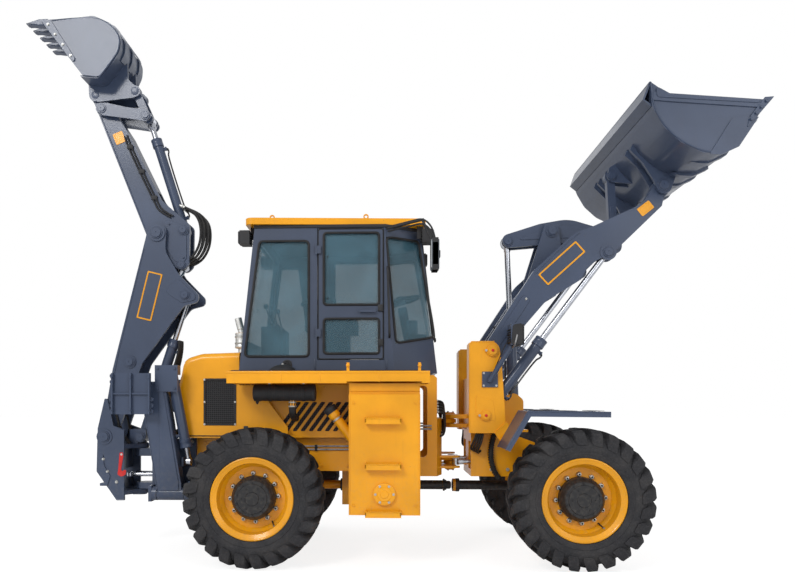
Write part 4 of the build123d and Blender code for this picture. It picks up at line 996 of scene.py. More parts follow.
class BACKHOE_OT_seat(bpy.types.Operator):
    """Pad the operator's seat"""

    bl_idname = "backhoe.seat"
    bl_label = "Operator's seat"

    def execute(self, context):
        pads = [
            # name, centre, size, lean in degrees, crown
            ("seat_cushion", (590, 0, 2215), (470, 470, 110), 0, 34),
            ("seat_backrest", (385, 0, 2480), (110, 450, 520), -8, 30),
        ]
        for name, centre, size, lean, crown in pads:
            bpy.ops.object.select_all(action="DESELECT")
            bpy.ops.mesh.primitive_cube_add(size=2)
            pad = context.object
            bpy.ops.object.mode_set(mode="EDIT")
            bpy.ops.mesh.subdivide(number_cuts=17)
            bpy.ops.object.mode_set(mode="OBJECT")
            thin = size.index(min(size))
            wide = [axis for axis in range(3) if axis != thin]
            for corner in pad.data.vertices:
                along, across, deep = corner.co[wide[0]], corner.co[wide[1]], corner.co[thin]
                swell = (1 - along ** 4) * (1 - across ** 4)
                channel = sum(math.exp(-((across - line) / 0.05) ** 2) for line in (-0.36, 0.36))
                pull = 0.93 + 0.07 * (1 - deep * deep)
                spot = [0, 0, 0]
                spot[wide[0]] = along * (pull - 0.03 * (1 - across * across) * abs(along)) * size[wide[0]] / 2
                spot[wide[1]] = across * (pull - 0.03 * (1 - along * along) * abs(across)) * size[wide[1]] / 2
                spot[thin] = deep * (size[thin] / 2 - crown + crown * swell - 8 * channel * abs(deep) ** 3)
                corner.co = Vector(spot) * MM
            place = Matrix.Translation(at(*centre)) @ Matrix.Rotation(math.radians(lean), 4, "Y")
            placed(pad, place)
            coated(tidy_mesh(pad), "cloth")
            modified(pad, "SUBSURF", levels=1, render_levels=1)
            finished(pad, name, "root", 60)
        bars = [both_sides(pipe(route([(330, -262, 2330), (330, -290, 2345), (470, -292, 2352),
                                       (650, -292, 2348)]), 22, "black"))]
        for x, y, low, lean in ((30, -210, 2118, -60), (30, 210, 2118, -60), (70, -150, 2118, -40),
                                (70, 150, 2118, -40), (560, 400, 2198, 60), (620, 440, 2198, 60)):
            bars.append(pipe(route([(x, y, low), (x + lean / 3, y, low + 90), (x + lean, y, low + 190)]), 7,
                             "steel"))
            knob = turned([(0, 0), (0, 14), (10, 22), (30, 24), (44, 16), (48, 0)],
                          Matrix.Translation(at(x + lean, y, low + 180)), "black", 16)
            boot = turned([(0, 0), (0, 42), (12, 38), (14, 30), (24, 28), (26, 20), (36, 18), (38, 8),
                           (38, 0)], Matrix.Translation(at(x, y, low)), "seal", 16)
            bars += [knob, boot]
        dash = brick((1326, 1420), (-180, 180), (2040, 2190), "console", 18, 3)
        dials = [turned([(0, 0), (0, 32), (6, 32), (7, 27), (3, 26), (3, 0)],
                        facing((-1, 0, 0.2), at(1326, y, 2130)), "black", 20) for y in (-110, 0, 110)]
        wheel_boss = turned([(0, 0), (0, 42), (16, 40), (24, 24), (24, 0)],
                            facing((-0.25, 0, 1), at(1255, 0, 2418)), "console", 24)
        finished(bars + [dash] + dials + [wheel_boss], "cab_levers_and_dials", "root")
        return {"FINISHED"}


class BACKHOE_OT_breathing(bpy.types.Operator):
    """Model the exhaust stack, the precleaner and the air cleaner"""

    bl_idname = "backhoe.breathing"
    bl_label = "Exhaust and air cleaner"

    def execute(self, context):
        stack = turned([(0, 40), (6, 44), (14, 44), (16, 34), (52, 34), (56, 60), (62, 64), (80, 64),
                        (86, 61), (176, 61), (182, 64), (194, 64), (198, 58), (198, 40), (120, 36), (120, 0)],
                       Matrix.Translation(at(*EXHAUST, 1857)), "silver")
        outlet = turned([(0, 30), (40, 30), (44, 33), (150, 33), (150, 29), (60, 28), (60, 0)],
                        facing((-0.25, 0, 1), at(*EXHAUST, 2050)), "silver", 24)
        clamps = [turned([(0, 63), (2, 67), (14, 67), (16, 63)], Matrix.Translation(at(*EXHAUST, z)), "zinc")
                  for z in (1950, 2012)]
        lugs = bolts([at(-235, -398, z) for z in (1958, 2020)], RIGHT, 12)
        finished([stack, outlet, lugs] + clamps, "exhaust_stack", "root")

        can = turned([(-4, 0), (-4, 60), (2, 72), (6, 76), (60, 76), (64, 73.5), (508, 73.5), (514, 77),
                      (534, 77), (540, 74), (544, 64), (544, 0)], facing(FORWARD, at(-39, *AIR_CLEANER_AXIS)),
                     "black", 40)
        bands = [turned([(0, 73), (1, 77), (28, 77), (29, 73)], facing(FORWARD, at(x, *AIR_CLEANER_AXIS)),
                        "black", 40) for x in (86, 386)]
        ribs = [turned([(0, 73), (1, 75.5), (5, 75.5), (6, 73)], facing(FORWARD, at(x, *AIR_CLEANER_AXIS)),
                       "black", 40) for x in (150, 190, 230, 270, 310, 350)]
        hose = pipe(route([(300, -750, 1424), (300, -750, 1360), (300, -742, 1300), (300, -640, 1262),
                           (300, -520, 1260)]), 32, "seal")
        rings = [turned([(0, 33), (2, 36), (12, 36), (14, 33)], facing(UP, at(300, -750, z)), "zinc", 24)
                 for z in (1362, 1398)]
        valve = turned([(0, 16), (20, 16), (40, 6), (40, 0)], facing(DOWN, at(-10, -750, 1428)), "seal", 16)
        dome = turned([(0, 0), (0, 34), (-12, 40), (-14, 108), (-4, 116), (6, 116), (14, 110), (30, 90),
                       (44, 60), (52, 28), (54, 0)], Matrix.Translation(at(*PRECLEANER, 1683)), "black", 40)
        stem = turned([(0, 26), (30, 26), (30, 0)], Matrix.Translation(at(*PRECLEANER, 1660)), "black", 20)
        screw = turned([(0, 12), (8, 12), (14, 6), (14, 0)], Matrix.Translation(at(*PRECLEANER, 1735)),
                       "zinc", 12)
        finished([can, hose, valve, dome, stem, screw] + bands + ribs + rings, "air_cleaner_and_precleaner",
                 "root")
        return {"FINISHED"}


class BACKHOE_OT_hood_trim(bpy.types.Operator):
    """Fit the screens, their frames, a black plate behind the louvres that paints the shade inside the hood,
    and the hood fasteners
    """

    bl_idname = "backhoe.hood_trim"
    bl_label = "Hood trim"

    def execute(self, context):
        opening = oblong((-519, 1213), (-257, 1604), 10)
        rim = oblong((-537, 1195), (-239, 1622), 22)
        parts = [
            both_sides(plate(rim, 558, 566, "cast", SIDE, [opening])),
            both_sides(plate(opening, 553, 557, "screen", SIDE, edge=0.5)),
            # black plate behind the louvre slots: painted shade standing in for the dark inside of the hood
            both_sides(plate([(60, 1110), (60, 1540), (790, 1540), (790, 1110)], 462, 470, "black")),
        ]
        places = grid(-566, (-528, -248), (1206, 1408, 1611))
        parts.append(both_sides(bolts(places, (0, -1, 0), 12)))
        lips = [plate([(x - 8, 1142, 14), (x + 34, 1142, 14), (x + 228, 1408, 14), (x + 186, 1408, 14)], 489,
                      493, "screen", SIDE, edge=0.8) for x in (120 + 74 * index for index in range(8))]
        parts.append(both_sides(joined(lips)))
        places = grid(-490, (-10, 280, 560), (1110, 1545))
        parts.append(both_sides(bolts(places, (0, -1, 0), 12, "yellow")))
        seam = both_sides(pipe(beside(-562, [(-735, 1100), (-560, 1100), (-200, 1100), (-80, 1100)]), 5,
                               "seal"))
        latch = both_sides(brick((-170, -130), (-572, -558), (1110, 1190), "black", 5))
        rear = plate(oblong((-250, 1330), (250, 1560), 20), -806, -800, "cast", ACROSS)
        handle = pipe(route([(-775, -90, 1740), (-812, -90, 1746), (-812, 90, 1746), (-775, 90, 1740)]), 9,
                      "black")
        hinge = both_sides(pipe(route([(-300, -240, 1868), (-300, -180, 1868)]), 10, "yellow", False))
        finished(parts + [seam, latch, rear, handle, hinge], "hood_trim", "root")
        return {"FINISHED"}


class BACKHOE_OT_walkways(bpy.types.Operator):
    """Fit the treads, tank cover, filler cap and step teeth"""

    bl_idname = "backhoe.walkways"
    bl_label = "Walkways and tanks"

    def execute(self, context):
        parts = []
        for step_z in STEP_HEIGHTS:
            teeth = []
            for index in range(16):
                x = 949 + index * 18.6
                teeth += [(x, step_z + 46), (x + 9.3, step_z + 57)]
            rows = [(948, step_z + 40), *teeth, (1247, step_z + 46), (1247, step_z + 40)]
            parts.append(both_sides(plate(rows, 1061, 1075, "yellow", edge=0.6)))
            sides = [plate([(-1075, step_z + 14), (-1000, step_z + 14), (-1000, step_z + 60),
                            (-1075, step_z + 45)], x, x + 8, "yellow", ACROSS, edge=0.8) for x in (948, 1239)]
            parts.append(both_sides(joined(sides)))
        cover = turned([(0, 92), (4, 92), (6, 88), (6, 62), (10, 58), (10, 34), (15, 30), (15, 0)],
                       facing(RIGHT, at(1108, -1022, 635)), "yellow", 40)
        cover_bolts = bolts(bolt_circle(1108, -1028, 635, 76, 6), RIGHT, 14)
        parts += [both_sides(cover), both_sides(cover_bolts)]
        way = Vector((-35, 0, 47)).normalized()
        cap = turned([(-14, 56), (6, 56), (8, 60), (34, 60), (40, 54), (44, 30), (50, 24), (50, 0)],
                     facing(way, at(645, -760, 1327)), "black", 28)
        neck = turned([(0, 43), (2, 48), (16, 48), (18, 43)], facing(way, at(700, -760, 1253)), "zinc", 28)
        parts += [both_sides(cap), both_sides(neck)]
        seams = [pipe(route([(x, -1001, 470), (x, -1001, 1462)]), 4, "yellow", False) for x in (816, 1400)]
        seams.append(pipe(route([(812, -943, 1500), (1404, -943, 1500)]), 4, "yellow", False))
        parts.append(both_sides(joined(seams)))
        drain = turned([(0, 22), (14, 22), (18, 14), (30, 14), (30, 0)], facing(DOWN, at(1108, -760, 457)),
                       "zinc", 16)
        parts.append(both_sides(drain))
        places = grid(-1000, (850, 1370), (540, 1400))
        parts.append(both_sides(bolts(places, (0, -1, 0), 16, "yellow")))
        finished(parts, "tank_and_step_fittings", "root")

        bars = []
        for low, high in ((-205, 80), (340, 760), (840, 1460)):
            bars.append(brick((low, high), (-975, -690), (1669, 1673), "seal", 1))
            cleat = brick((low + 10, high - 10), (-968, -954), (1672, 1678), "seal", 1)
            bars.append(copies(cleat, [Matrix.Translation((0, index * 0.024, 0)) for index in range(11)]))
        edge = brick((-227, 1489), (-1004, -999), (1650, 1668), "yellow", 2)
        welts = [brick((x, x + 12), (-1003, -997), (1575, 1660), "yellow", 2) for x in (230, 560, 1060)]
        pegs = [turned([(0, 16), (12, 16), (12, 11), (30, 10), (34, 0)],
                       facing(RIGHT, at(x + 12, -1001, 1715)), "yellow", 16) for x in (790, 1390)]
        strap_bolts = both_sides(bolts([at(x + 20, -772, z) for x in (80, 380) for z in (1570, 1630)], RIGHT,
                                       12))
        finished([both_sides(joined(bars + [edge] + welts + pegs)), strap_bolts], "walkway_treads", "root")
        return {"FINISHED"}


class BACKHOE_OT_rear_frame(bpy.types.Operator):
    """Fit the hinge pins, hoses, bolts and drive joints of the rear frame"""

    bl_idname = "backhoe.rear_frame"
    bl_label = "Rear frame fittings"

    def execute(self, context):
        radius = context.scene.backhoe_sizes.hose / MM
        parts = []
        for z, way in ((1292, 1), (770, -1)):
            parts.append(pin_heads([at(1740, 0, z)], (0, 0, way), 44, "yellow"))
            places = [at(1740 + 33 * math.cos(turn), 33 * math.sin(turn), z + 19 * way)
                      for turn in (math.tau * index / 3 for index in range(3))]
            parts.append(bolts(places, (0, 0, way), 14))
        for index in range(5):
            y = 150 + 34 * index
            dip = 26 * index
            hose = pipe(route([(1580, y, 1420 - dip), (1640, y, 1420 - dip), (1668, y + 6, 1390 - dip),
                               (1672, y + 8, 1300 - dip), (1664, y + 4, 1215 - dip), (1632, y, 1190 - dip),
                               (1585, y, 1190 - dip)]), radius, "hose")
            ends = [turned([(0, 15), (22, 15), (24, 18), (38, 18), (38, 12), (56, 12), (58, 0)],
                           facing(FORWARD, at(1560, y, z)), "zinc", 12) for z in (1420 - dip, 1190 - dip)]
            parts.append(both_sides(joined([hose] + ends)))
        for x in (-560, -300, 260, 520, 760, 960):
            parts.append(both_sides(bolts([at(x, -402, z) for z in (820, 1030)], RIGHT, 20, "yellow")))
        parts.append(both_sides(bolts([at(1300, -402, z) for z in (1000, 1120, 1240, 1360, 1480)], RIGHT,
                                      16)))
        line = pipe(beside(-412, [(-540, 1000), (200, 1000), (860, 1000), (930, 1010), (1180, 1180),
                                  (1260, 1190), (1540, 1190)]), 8, "steel")
        second = pipe(beside(-412, [(-540, 970), (200, 970), (870, 970), (950, 980), (1200, 1150),
                                    (1270, 1160), (1540, 1160)]), 8, "steel")
        clips = [brick((x, x + 26), (-422, -402), (955, 1014), "black", 4) for x in (-420, 20, 460)]
        parts.append(both_sides(joined([line, second] + clips)))
        parts += [shaft_joint(x, 60) for x in (180, 690, 1060, 1690)]
        parts.append(shaft_sleeve(1170, 500))
        parts.append(turned([(0, 0), (0, 28), (12, 40), (40, 40), (52, 28), (52, 0)],
                            facing(FORWARD, at(1700, 0, DRIVE_LINE_Z)), "cast", 24))
        band = turned([(0, 205), (2, 214), (16, 214), (18, 205)], facing(LEFT, at(0, -9, AXLE_Z)), "yellow",
                      40)
        cover = bolts(bolt_circle(0, -66, AXLE_Z, 190, DIFFERENTIAL_BOLTS), RIGHT, 14, "yellow")
        gear = [brick((x, x + 14), (-196, 196), (424, 906), "yellow", 3) for x in (820, 940)]
        axle_bolts = both_sides(bolts([at(x, -330, 716) for x in (-80, -30, 30, 80)], DOWN, 22))
        finished(parts + [band, cover] + gear + [axle_bolts], "rear_frame_fittings", "root")
        return {"FINISHED"}


class BACKHOE_OT_tower(bpy.types.Operator):
    """Fit the loader tower's pins, hoses and shaft joints, and dress its work lamps and fenders"""

    bl_idname = "backhoe.tower"
    bl_label = "Loader tower fittings"

    def execute(self, context):
        parts = [
            both_sides(pin_heads(beside(-572, [ARM_FOOT]), RIGHT, 42, "yellow")),
            both_sides(pin_heads(beside(-572, [LIFT_BASE]), RIGHT, 36, "yellow")),
        ]
        for x, z in (ARM_FOOT, LIFT_BASE):
            tip = turned([(0, 13), (6, 13), (9, 9), (9, 0)], facing(RIGHT, at(x, -588, z)), "red", 16)
            rows = [(x - 72, z - 12, 8), (x - 34, z - 12), (x - 34, z + 12), (x - 72, z + 12, 8)]
            lock = plate(rows, 572, 582, "yellow")
            keeper = bolts([at(x - 58, -582, z)], RIGHT, 14)
            parts.append(both_sides(joined([tip, lock, keeper])))
        parts.append(both_sides(bolts(grid(-572, (1994, 2106), (1554, 1666)), RIGHT, 13)))
        edge = pipe(beside(-561, [(1868, 1140), (1868, 1925), (1890, 1950), (2090, 1950)]), 5, "yellow",
                    False)
        parts.append(both_sides(edge))
        stiffener = plate([(1925, 1290, 20), (2105, 1230, 20), (2080, 1420, 20), (1925, 1470, 20)], 558, 564,
                          "yellow")
        parts.append(both_sides(stiffener))
        for index in range(4):
            x = 1932 + 20 * index
            hose = pipe(route([(x, -548 + 6 * index, 1120), (x - 6, -500, 1080 - 10 * index),
                               (x - 30, -400, 1000 - 12 * index), (x - 22, -330, 960 - 10 * index),
                               (x + 20, -300, 990 - 10 * index), (x + 40, -262, 1060)]), 11, "hose")
            parts.append(both_sides(hose))
        run = [(2122, 1120), (2100, 1040), (2088, 950), (2092, 860), (2118, 770), (2165, 700)]
        duct = [pipe(beside(-350, run), 22, "seal")]
        for (x, z), (next_x, next_z) in zip(run, run[1:]):
            for share in (0.1, 0.35, 0.6, 0.85):
                place = at(x + (next_x - x) * share, -350, z + (next_z - z) * share)
                duct.append(turned([(-6, 22), (-4, 27), (4, 27), (6, 22)],
                                   facing((next_x - x, 0, next_z - z), place), "seal", 16))
        parts.append(both_sides(joined(duct)))
        parts += [shaft_joint(x, 62) for x in (1780, 2560)]
        parts.append(shaft_sleeve(1805, 740))
        parts.append(turned([(0, 0), (0, 62), (3, 65), (34, 65), (37, 62), (37, 44)],
                            facing(FORWARD, at(1795, 0, DRIVE_LINE_Z)), "cast", 24))
        cover = bolts(bolt_circle(WHEELBASE, -66, AXLE_Z, 190, DIFFERENTIAL_BOLTS), RIGHT, 14, "yellow")
        web_bolts = both_sides(bolts([at(x, -314, 780) for x in (2100, 2250, 2400, 2560, 2900)], RIGHT, 22))
        finished(parts + [cover, web_bolts], "loader_tower_fittings", "front")

        shell = plate([(2197, 1900, 26), (2303, 1897, 26), (2303, 2089, 26), (2212, 2080, 34)], 606, 794,
                      "black", SIDE, edge=6)
        glass = plate(oblong((-782, 1912), (-618, 2074), 20), 2303, 2308, "lens", ACROSS, edge=1.5)
        rim = plate(oblong((-792, 1902), (-608, 2084), 26), 2300, 2312, "black", ACROSS,
                    [oblong((-780, 1914), (-620, 2072), 20)], 3)
        fins = [brick((2188, 2204), (-776, -624), (1924 + 22 * index, 1930 + 22 * index), "black", 1)
                for index in range(6)]
        yoke = pipe(route([(2250, -604, 1985), (2250, -600, 1985), (2230, -600, 1900), (2226, -640, 1886),
                           (2226, -740, 1886), (2230, -800, 1900), (2250, -800, 1985), (2250, -796, 1985)]),
                    7, "steel")
        wire = pipe(route([(2192, -700, 1950), (2160, -680, 1900), (2110, -630, 1760), (2060, -590, 1640)]),
                    5, "hose")
        pieces = [both_sides(joined([shell, glass, rim, yoke, wire] + fins))]
        flaps = [brick((x, x + 70), (-1066, -664), (1331, 1335), "seal", 1) for x in (2400, 2620, 2840)]
        lip = pipe(beside(-1079, [(2106, 1012), (2287, 1329), (2958, 1321)]), 6, "slate", False)
        inner = pipe(beside(-651, [(2106, 1012), (2287, 1329), (2958, 1321)]), 6, "slate", False)
        nuts = bolts([at(x, y, 1327 - 0.012 * (x - 2290)) for x in (2330, 2930) for y in (-700, -860, -1030)],
                     (0, 0, 1), 13)
        pieces.append(both_sides(joined(flaps + [lip, inner, nuts])))
        finished(pieces, "work_lamp_and_fender_fittings", "front")
        return {"FINISHED"}


class BACKHOE_OT_loader(bpy.types.Operator):
    """Fit the pivot pins of both arms, and the plates and pipes of the loader arms, rocker and link"""

    bl_idname = "backhoe.loader"
    bl_label = "Loader arms and rocker"

    def execute(self, context):
        for name, body, pins in PIN_HEADS:
            heads = [pin_heads(beside(-y, [pin]), RIGHT, radius) for pin, y, radius in pins]
            finished(both_sides(joined(heads)), name, body)
        blank = leaning_plate((2698, 2655), 42, (450, 132), 518, "slate", "yellow")
        small = leaning_plate((3440, 3140), 38, (132, 84), 518, "yellow", "yellow")
        bends = [(2100, 1930), (2250, 2150), (2440, 2440), (2610, 2640), (2790, 2790), (3000, 2890),
                 (3080, 2920)]
        pipes = [pipe(beside(-428, [(x - shift, z + shift) for x, z in bends]), 9, "slate")
                 for shift in (0, 18.2)]
        clips = [brick((x - 20, x + 20), (-436, -416), (z - 18, z + 34), "black", 4)
                 for x, z in ((2250, 2160), (2600, 2640), (2990, 2885))]
        root = plate([(2050, 1900, 30), (2120, 1880, 30), (2420, 2330, 200), (2360, 2380, 200)], 518, 526,
                     "slate")
        weld = pipe(beside(-519, [(2460, 2560), (2640, 2760), (2860, 2930)]), 4, "slate")
        nuts = bolts(beside(-526, [(2100, 1925), (2380, 2335)]), RIGHT, 14)
        collar = turned([(0, 95), (2, 104), (14, 104), (16, 95)], facing(RIGHT, at(2650, -416, 2620)),
                        "slate", 36)
        finished(both_sides(joined([blank, small, root, weld, nuts] + pipes + clips + [collar])),
                 "loader_arm_fittings", "arms")
        rib = plate([(2330, 2962, 40), (2640, 3070), (2880, 3110, 300), (3140, 3030, 200), (3250, 2930, 40),
                     (2960, 2985, 200), (2700, 2985, 60)], 72, 78, "slate")
        finished(both_sides(rib), "tilt_rocker_ribs", "rocker")
        band = plate(oblong((3280, 3180), (3324, 3300)), -38, 38, "slate", edge=5)
        finished(band, "tilt_link_band", "tilt_link")
        return {"FINISHED"}


class BACKHOE_OT_loader_bucket(bpy.types.Operator):
    """Fit the cutting edge, wear plates and gussets of the loader bucket"""

    bl_idname = "backhoe.loader_bucket"
    bl_label = "Loader bucket fittings"

    def execute(self, context):
        half = 1130
        edge = plate([(4090, 3690), (4225, 3848), (4212, 3856), (4195, 3850), (4076, 3702)], -half - 14,
                     half + 14, "slate", SIDE, edge=2)
        corner = both_sides(plate([(4000, 3585, 20), (4222, 3850), (4150, 3846), (4040, 3700, 20)], half + 20,
                                  half + 30, "slate"))
        runs = []
        for y in (-900, -300, 300, 900):
            runs.append(plate([(3662, 3411), (3720, 3398, 80), (3800, 3392, 90), (3950, 3460, 40),
                               (4080, 3650), (4070, 3662), (3935, 3482, 40), (3800, 3406, 100), (3668, 3414)],
                              y - 40, y + 40, "slate", SIDE, edge=1))
        gussets = []
        for y in (-1000, -600, -200, 200, 600, 1000):
            gussets.append(plate([(3262, 3960), (3196, 3852), (3262, 3796)], y, y + 12, "slate", SIDE,
                                 edge=1))
        ends = [plate([(3290, 3950, 30), (3410, 3880), (4120, 3822), (4100, 3800), (3420, 3850, 40),
                       (3300, 3860, 30)], half + 24, half + 32, "slate"),
                pipe(beside(-(half + 17), [(3258, 3975), (3268, 3792), (3366, 3626), (3494, 3508),
                                           (3668, 3420), (3800, 3413), (3932, 3476), (4106, 3722)]), 7,
                     "slate")]
        corner_bolts = both_sides(bolts(beside(-(half + 30),
                                               [(4040, 3668), (4080, 3716), (4120, 3764), (4160, 3812)]),
                                        RIGHT, 20, "slate"))
        under = bolts([at(4140, y, 3712) for y in range(-1020, 1021, 170)], (0.77, 0, -0.64), 22)
        lip = pipe(route([(3256, -half, 3986), (3256, half, 3986)]), 12, "slate", False)
        finished([edge, corner, corner_bolts, under, lip, both_sides(joined(ends))] + runs + gussets,
                 "loader_bucket_fittings", "loader_bucket")
        return {"FINISHED"}


class BACKHOE_OT_cylinders(bpy.types.Operator):
    """Fit the glands, ports, pipes and hoses of the hydraulic cylinders"""

    bl_idname = "backhoe.cylinders"
    bl_label = "Hydraulic cylinders"

    def execute(self, context):
        for name, body, base, eye, y, tube, radius, turn, hoses in CYLINDERS:
            start, end = beside(y, [base, eye])
            piece = cylinder_fittings(start, end, tube, radius, 240 if y else 130, turn)
            axis = end - start
            outward = Vector((axis.z, 0, -axis.x)).normalized() * MM
            held = []
            for index in range(hoses):
                bends = ((0.16, 60), (0.20, 88), (0.34, 104), (0.52, 94 + 6 * index), (0.66, 84), (0.70, 58))
                aside = Vector((0, (36 * index - 54) * MM, 0))
                held.append(pipe([start + axis * share + outward * out + aside for share, out in bends], 12,
                                 "hose"))
            piece = joined([piece] + held)
            finished(both_sides(piece) if y else piece, f"{name}_cylinder_fittings", body)
        for name, body, base, eye, tube, radius in PAIRED_CYLINDERS:
            for side, hand in SIDES:
                start, end = at(*mirrored(base, hand)), at(*mirrored(eye, hand))
                piece = cylinder_fittings(start, end, tube, radius)
                finished(piece, f"{name}_cylinder_fittings_{side}", f"{body}_{side}")
        return {"FINISHED"}


class BACKHOE_OT_backhoe_base(bpy.types.Operator):
    """Fit the swing frame's hoses, the post's pins and the red swing lock"""

    bl_idname = "backhoe.backhoe_base"
    bl_label = "Backhoe base fittings"

    def execute(self, context):
        parts = []
        for index in range(6):
            y = -150 + 56 * index
            hose = pipe(route([(-640, y, 1180 - 8 * index), (-700, y, 1180),
                               (-850, y * 0.8, 1160 + 16 * index), (-960, y * 0.6, 1120),
                               (-1010, y * 0.5, 1010), (-1006, y * 0.5, 965)]), 12, "hose")
            parts.append(hose)
            parts.append(turned([(0, 16), (20, 16), (22, 20), (36, 20), (36, 13), (52, 13)],
                                facing(BACK, at(-612, y, 1180 - 8 * index)), "zinc", 12))
        valve = brick((-640, -560), (-220, 220), (1110, 1240), "cast", 8)
        spools = [turned([(0, 20), (30, 20), (34, 14), (60, 14), (60, 0)], facing(UP, at(-600, y, 1240)),
                         "cast", 14) for y in range(-180, 181, 60)]
        glands = [both_sides(turned([(4, 24), (4, 50), (16, 54), (40, 54), (44, 46), (44, 24)],
                                    facing(FORWARD, at(-1064, -60, 700)), "cast", 32)),
                  both_sides(turned([(0, 46), (4, 56), (30, 56), (34, 46)],
                                    facing(FORWARD, at(-560, -60, 700)), "cast", 32))]
        rear_bolts = both_sides(bolts([at(-1000, y, z) for y in (-560, -400, -250) for z in (600, 900)], BACK,
                                      24))
        side_bolts = both_sides(bolts(beside(-428, [(-960, 620), (-960, 920), (-840, 1010), (-680, 1040),
                                                    (-680, 700)]), RIGHT, 22))
        hinge_pins = both_sides(pin_heads([at(-965, -660, 590)], BACK, 32))
        finished(parts + [valve, rear_bolts, side_bolts, hinge_pins] + spools + glands,
                 "backhoe_mount_fittings", "root")

        top = pin_heads([at(SWING_X, 0, 1002)], UP, 44)
        low = pin_heads([at(SWING_X, 0, 515)], DOWN, 44)
        locks = bolts([at(SWING_X + 30 * math.cos(turn), 30 * math.sin(turn), 1020)
                       for turn in (0.5, 2.6, 4.7)], UP, 13)
        hook = plate([(-1440, 925, 14), (-1404, 925, 14), (-1404, 880, 20), (-1426, 760, 6), (-1410, 742, 6),
                      (-1396, 760, 8), (-1372, 750, 10), (-1384, 706, 24), (-1430, 690, 30), (-1462, 714, 24),
                      (-1452, 770, 20)], 230, 234.5, "red", edge=0.8)
        pivot = turned([(0, 0), (0, 13), (3, 13), (5, 11), (5, 0)], facing(RIGHT, at(-1422, -230, 906)),
                       "zinc", 16)
        edges = both_sides(pipe(beside(-228, [(-1582, 1436), (-1563, 1436), (-1503, 1176), (-1399, 1138),
                                              (-1399, 468), (-1468, 468)]), 6, "slate", False))
        studs = both_sides(bolts(beside(-230, [(-1470, 640), (-1560, 740), (-1600, 860)]), RIGHT, 20))
        guides = [pipe(beside(y, [(-1380, 1010), (-1420, 1060), (-1470, 1120), (-1490, 1250), (-1520, 1330)]),
                       12, "hose") for y in (-150, -115, 115, 150)]
        finished([top, low, locks, hook, pivot, edges, studs] + guides, "swing_post_fittings", "swing_post")
        return {"FINISHED"}


class BACKHOE_OT_boom(bpy.types.Operator):
    """Fit the boom's blank plate, pipes and hose loops"""

    bl_idname = "backhoe.boom"
    bl_label = "Boom fittings"

    def execute(self, context):
        blank = leaning_plate((-1180, 2440), 76, (470, 150), 140, "slate", "yellow")
        doubler = plate([(-1600, 1010, 40), (-1618, 1120, 60), (-1530, 1560, 40), (-1440, 1500, 40),
                         (-1500, 1200, 60), (-1530, 1015, 40)], 140, 148, "slate")
        ear = plate([(-1030, 2480, 40), (-900, 2610, 40), (-730, 2450, 40), (-730, 2400, 40),
                     (-860, 2370, 40)], 140, 147, "slate")
        weld = pipe(beside(-141, [(-1610, 1150), (-1535, 1700), (-1400, 2240), (-1235, 2900)]), 4, "slate")
        nuts = bolts(beside(-148, [(-1590, 1060), (-1560, 1480), (-1490, 1480)]), RIGHT, 16, "slate")
        finished(both_sides(joined([blank, doubler, ear, weld, nuts])), "boom_plates", "boom")
        lines = []
        for y in (-96, -66, 66, 96):
            lines.append(pipe(beside(y, [(-1500, 1300), (-1480, 1420), (-1450, 1700), (-1240, 2420),
                                         (-1180, 2600), (-1090, 2780)]), 10, "slate"))
        clips = [brick((x - 24, x + 14), (-112, 112), (z - 14, z + 14), "black", 4)
                 for x, z in ((-1440, 1760), (-1330, 2140), (-1222, 2500))]
        loops = []
        for index, y in enumerate((-70, -46, -18, 18, 46, 70)):
            reach = 30 * (index % 3)
            loops.append(pipe(route([(-1010, y, 2690), (-930, y, 2740), (-800 + reach, y, 2800),
                                     (-712 + reach, y, 2930), (-690 + reach, y, 3080),
                                     (-715 + reach, y, 3210), (-800 + reach / 2, y, 3300), (-880, y, 3330)]),
                              13, "hose"))
            for x, z, way in ((-1010, 2690, (-1, 0, -0.4)), (-880, 3330, (-1, 0, 0.4))):
                loops.append(turned([(-30, 14), (-8, 14), (-6, 18), (8, 18), (8, 13), (26, 13), (26, 0)],
                                    facing(way, at(x, y, z)), "zinc", 12))
        finished(lines + clips + loops, "boom_hoses", "boom")
        return {"FINISHED"}


class BACKHOE_OT_stick(bpy.types.Operator):
    """Fit the stick's pipes, clamps and plates"""

    bl_idname = "backhoe.stick"
    bl_label = "Stick fittings"

    def execute(self, context):
        small = leaning_plate((-1497, 4000), -68, (112, 100), 92, "yellow", "yellow")
        cheek = plate([(-1190, 3050, 60), (-1010, 3200, 60), (-830, 3110, 60), (-830, 2780, 60),
                       (-940, 2780, 60), (-1080, 2985, 60)], 92, 99, "slate")
        nose = plate([(-1780, 4415, 50), (-1735, 4465, 40), (-1690, 4455, 40), (-1560, 4260, 60),
                      (-1660, 4180, 60)], 92, 98, "slate")
        weld = pipe(beside(-93, [(-1240, 3110), (-1480, 3720), (-1700, 4270)]), 4, "slate")
        lines = [pipe([at(x + shift, -104, z + shift * 0.4)
                       for x, z in ((-985, 3215), (-1095, 3270), (-1140, 3350), (-1420, 3930),
                                    (-1440, 4010))], 9, "cast") for shift in (0, 26)]
        clips = [brick((x - 14, x + 44), (-114, -92), (z - 14, z + 26), "black", 4)
                 for x, z in ((-1160, 3400), (-1285, 3660), (-1400, 3900))]
        nuts = bolts(beside(-99, [(-1140, 3060), (-1000, 3150), (-860, 3060), (-860, 2820)]), (0, -1, 0), 16,
                     "slate")
        finished(both_sides(joined([small, cheek, nose, weld, nuts] + lines + clips)), "stick_fittings",
                 "stick")
        return {"FINISHED"}


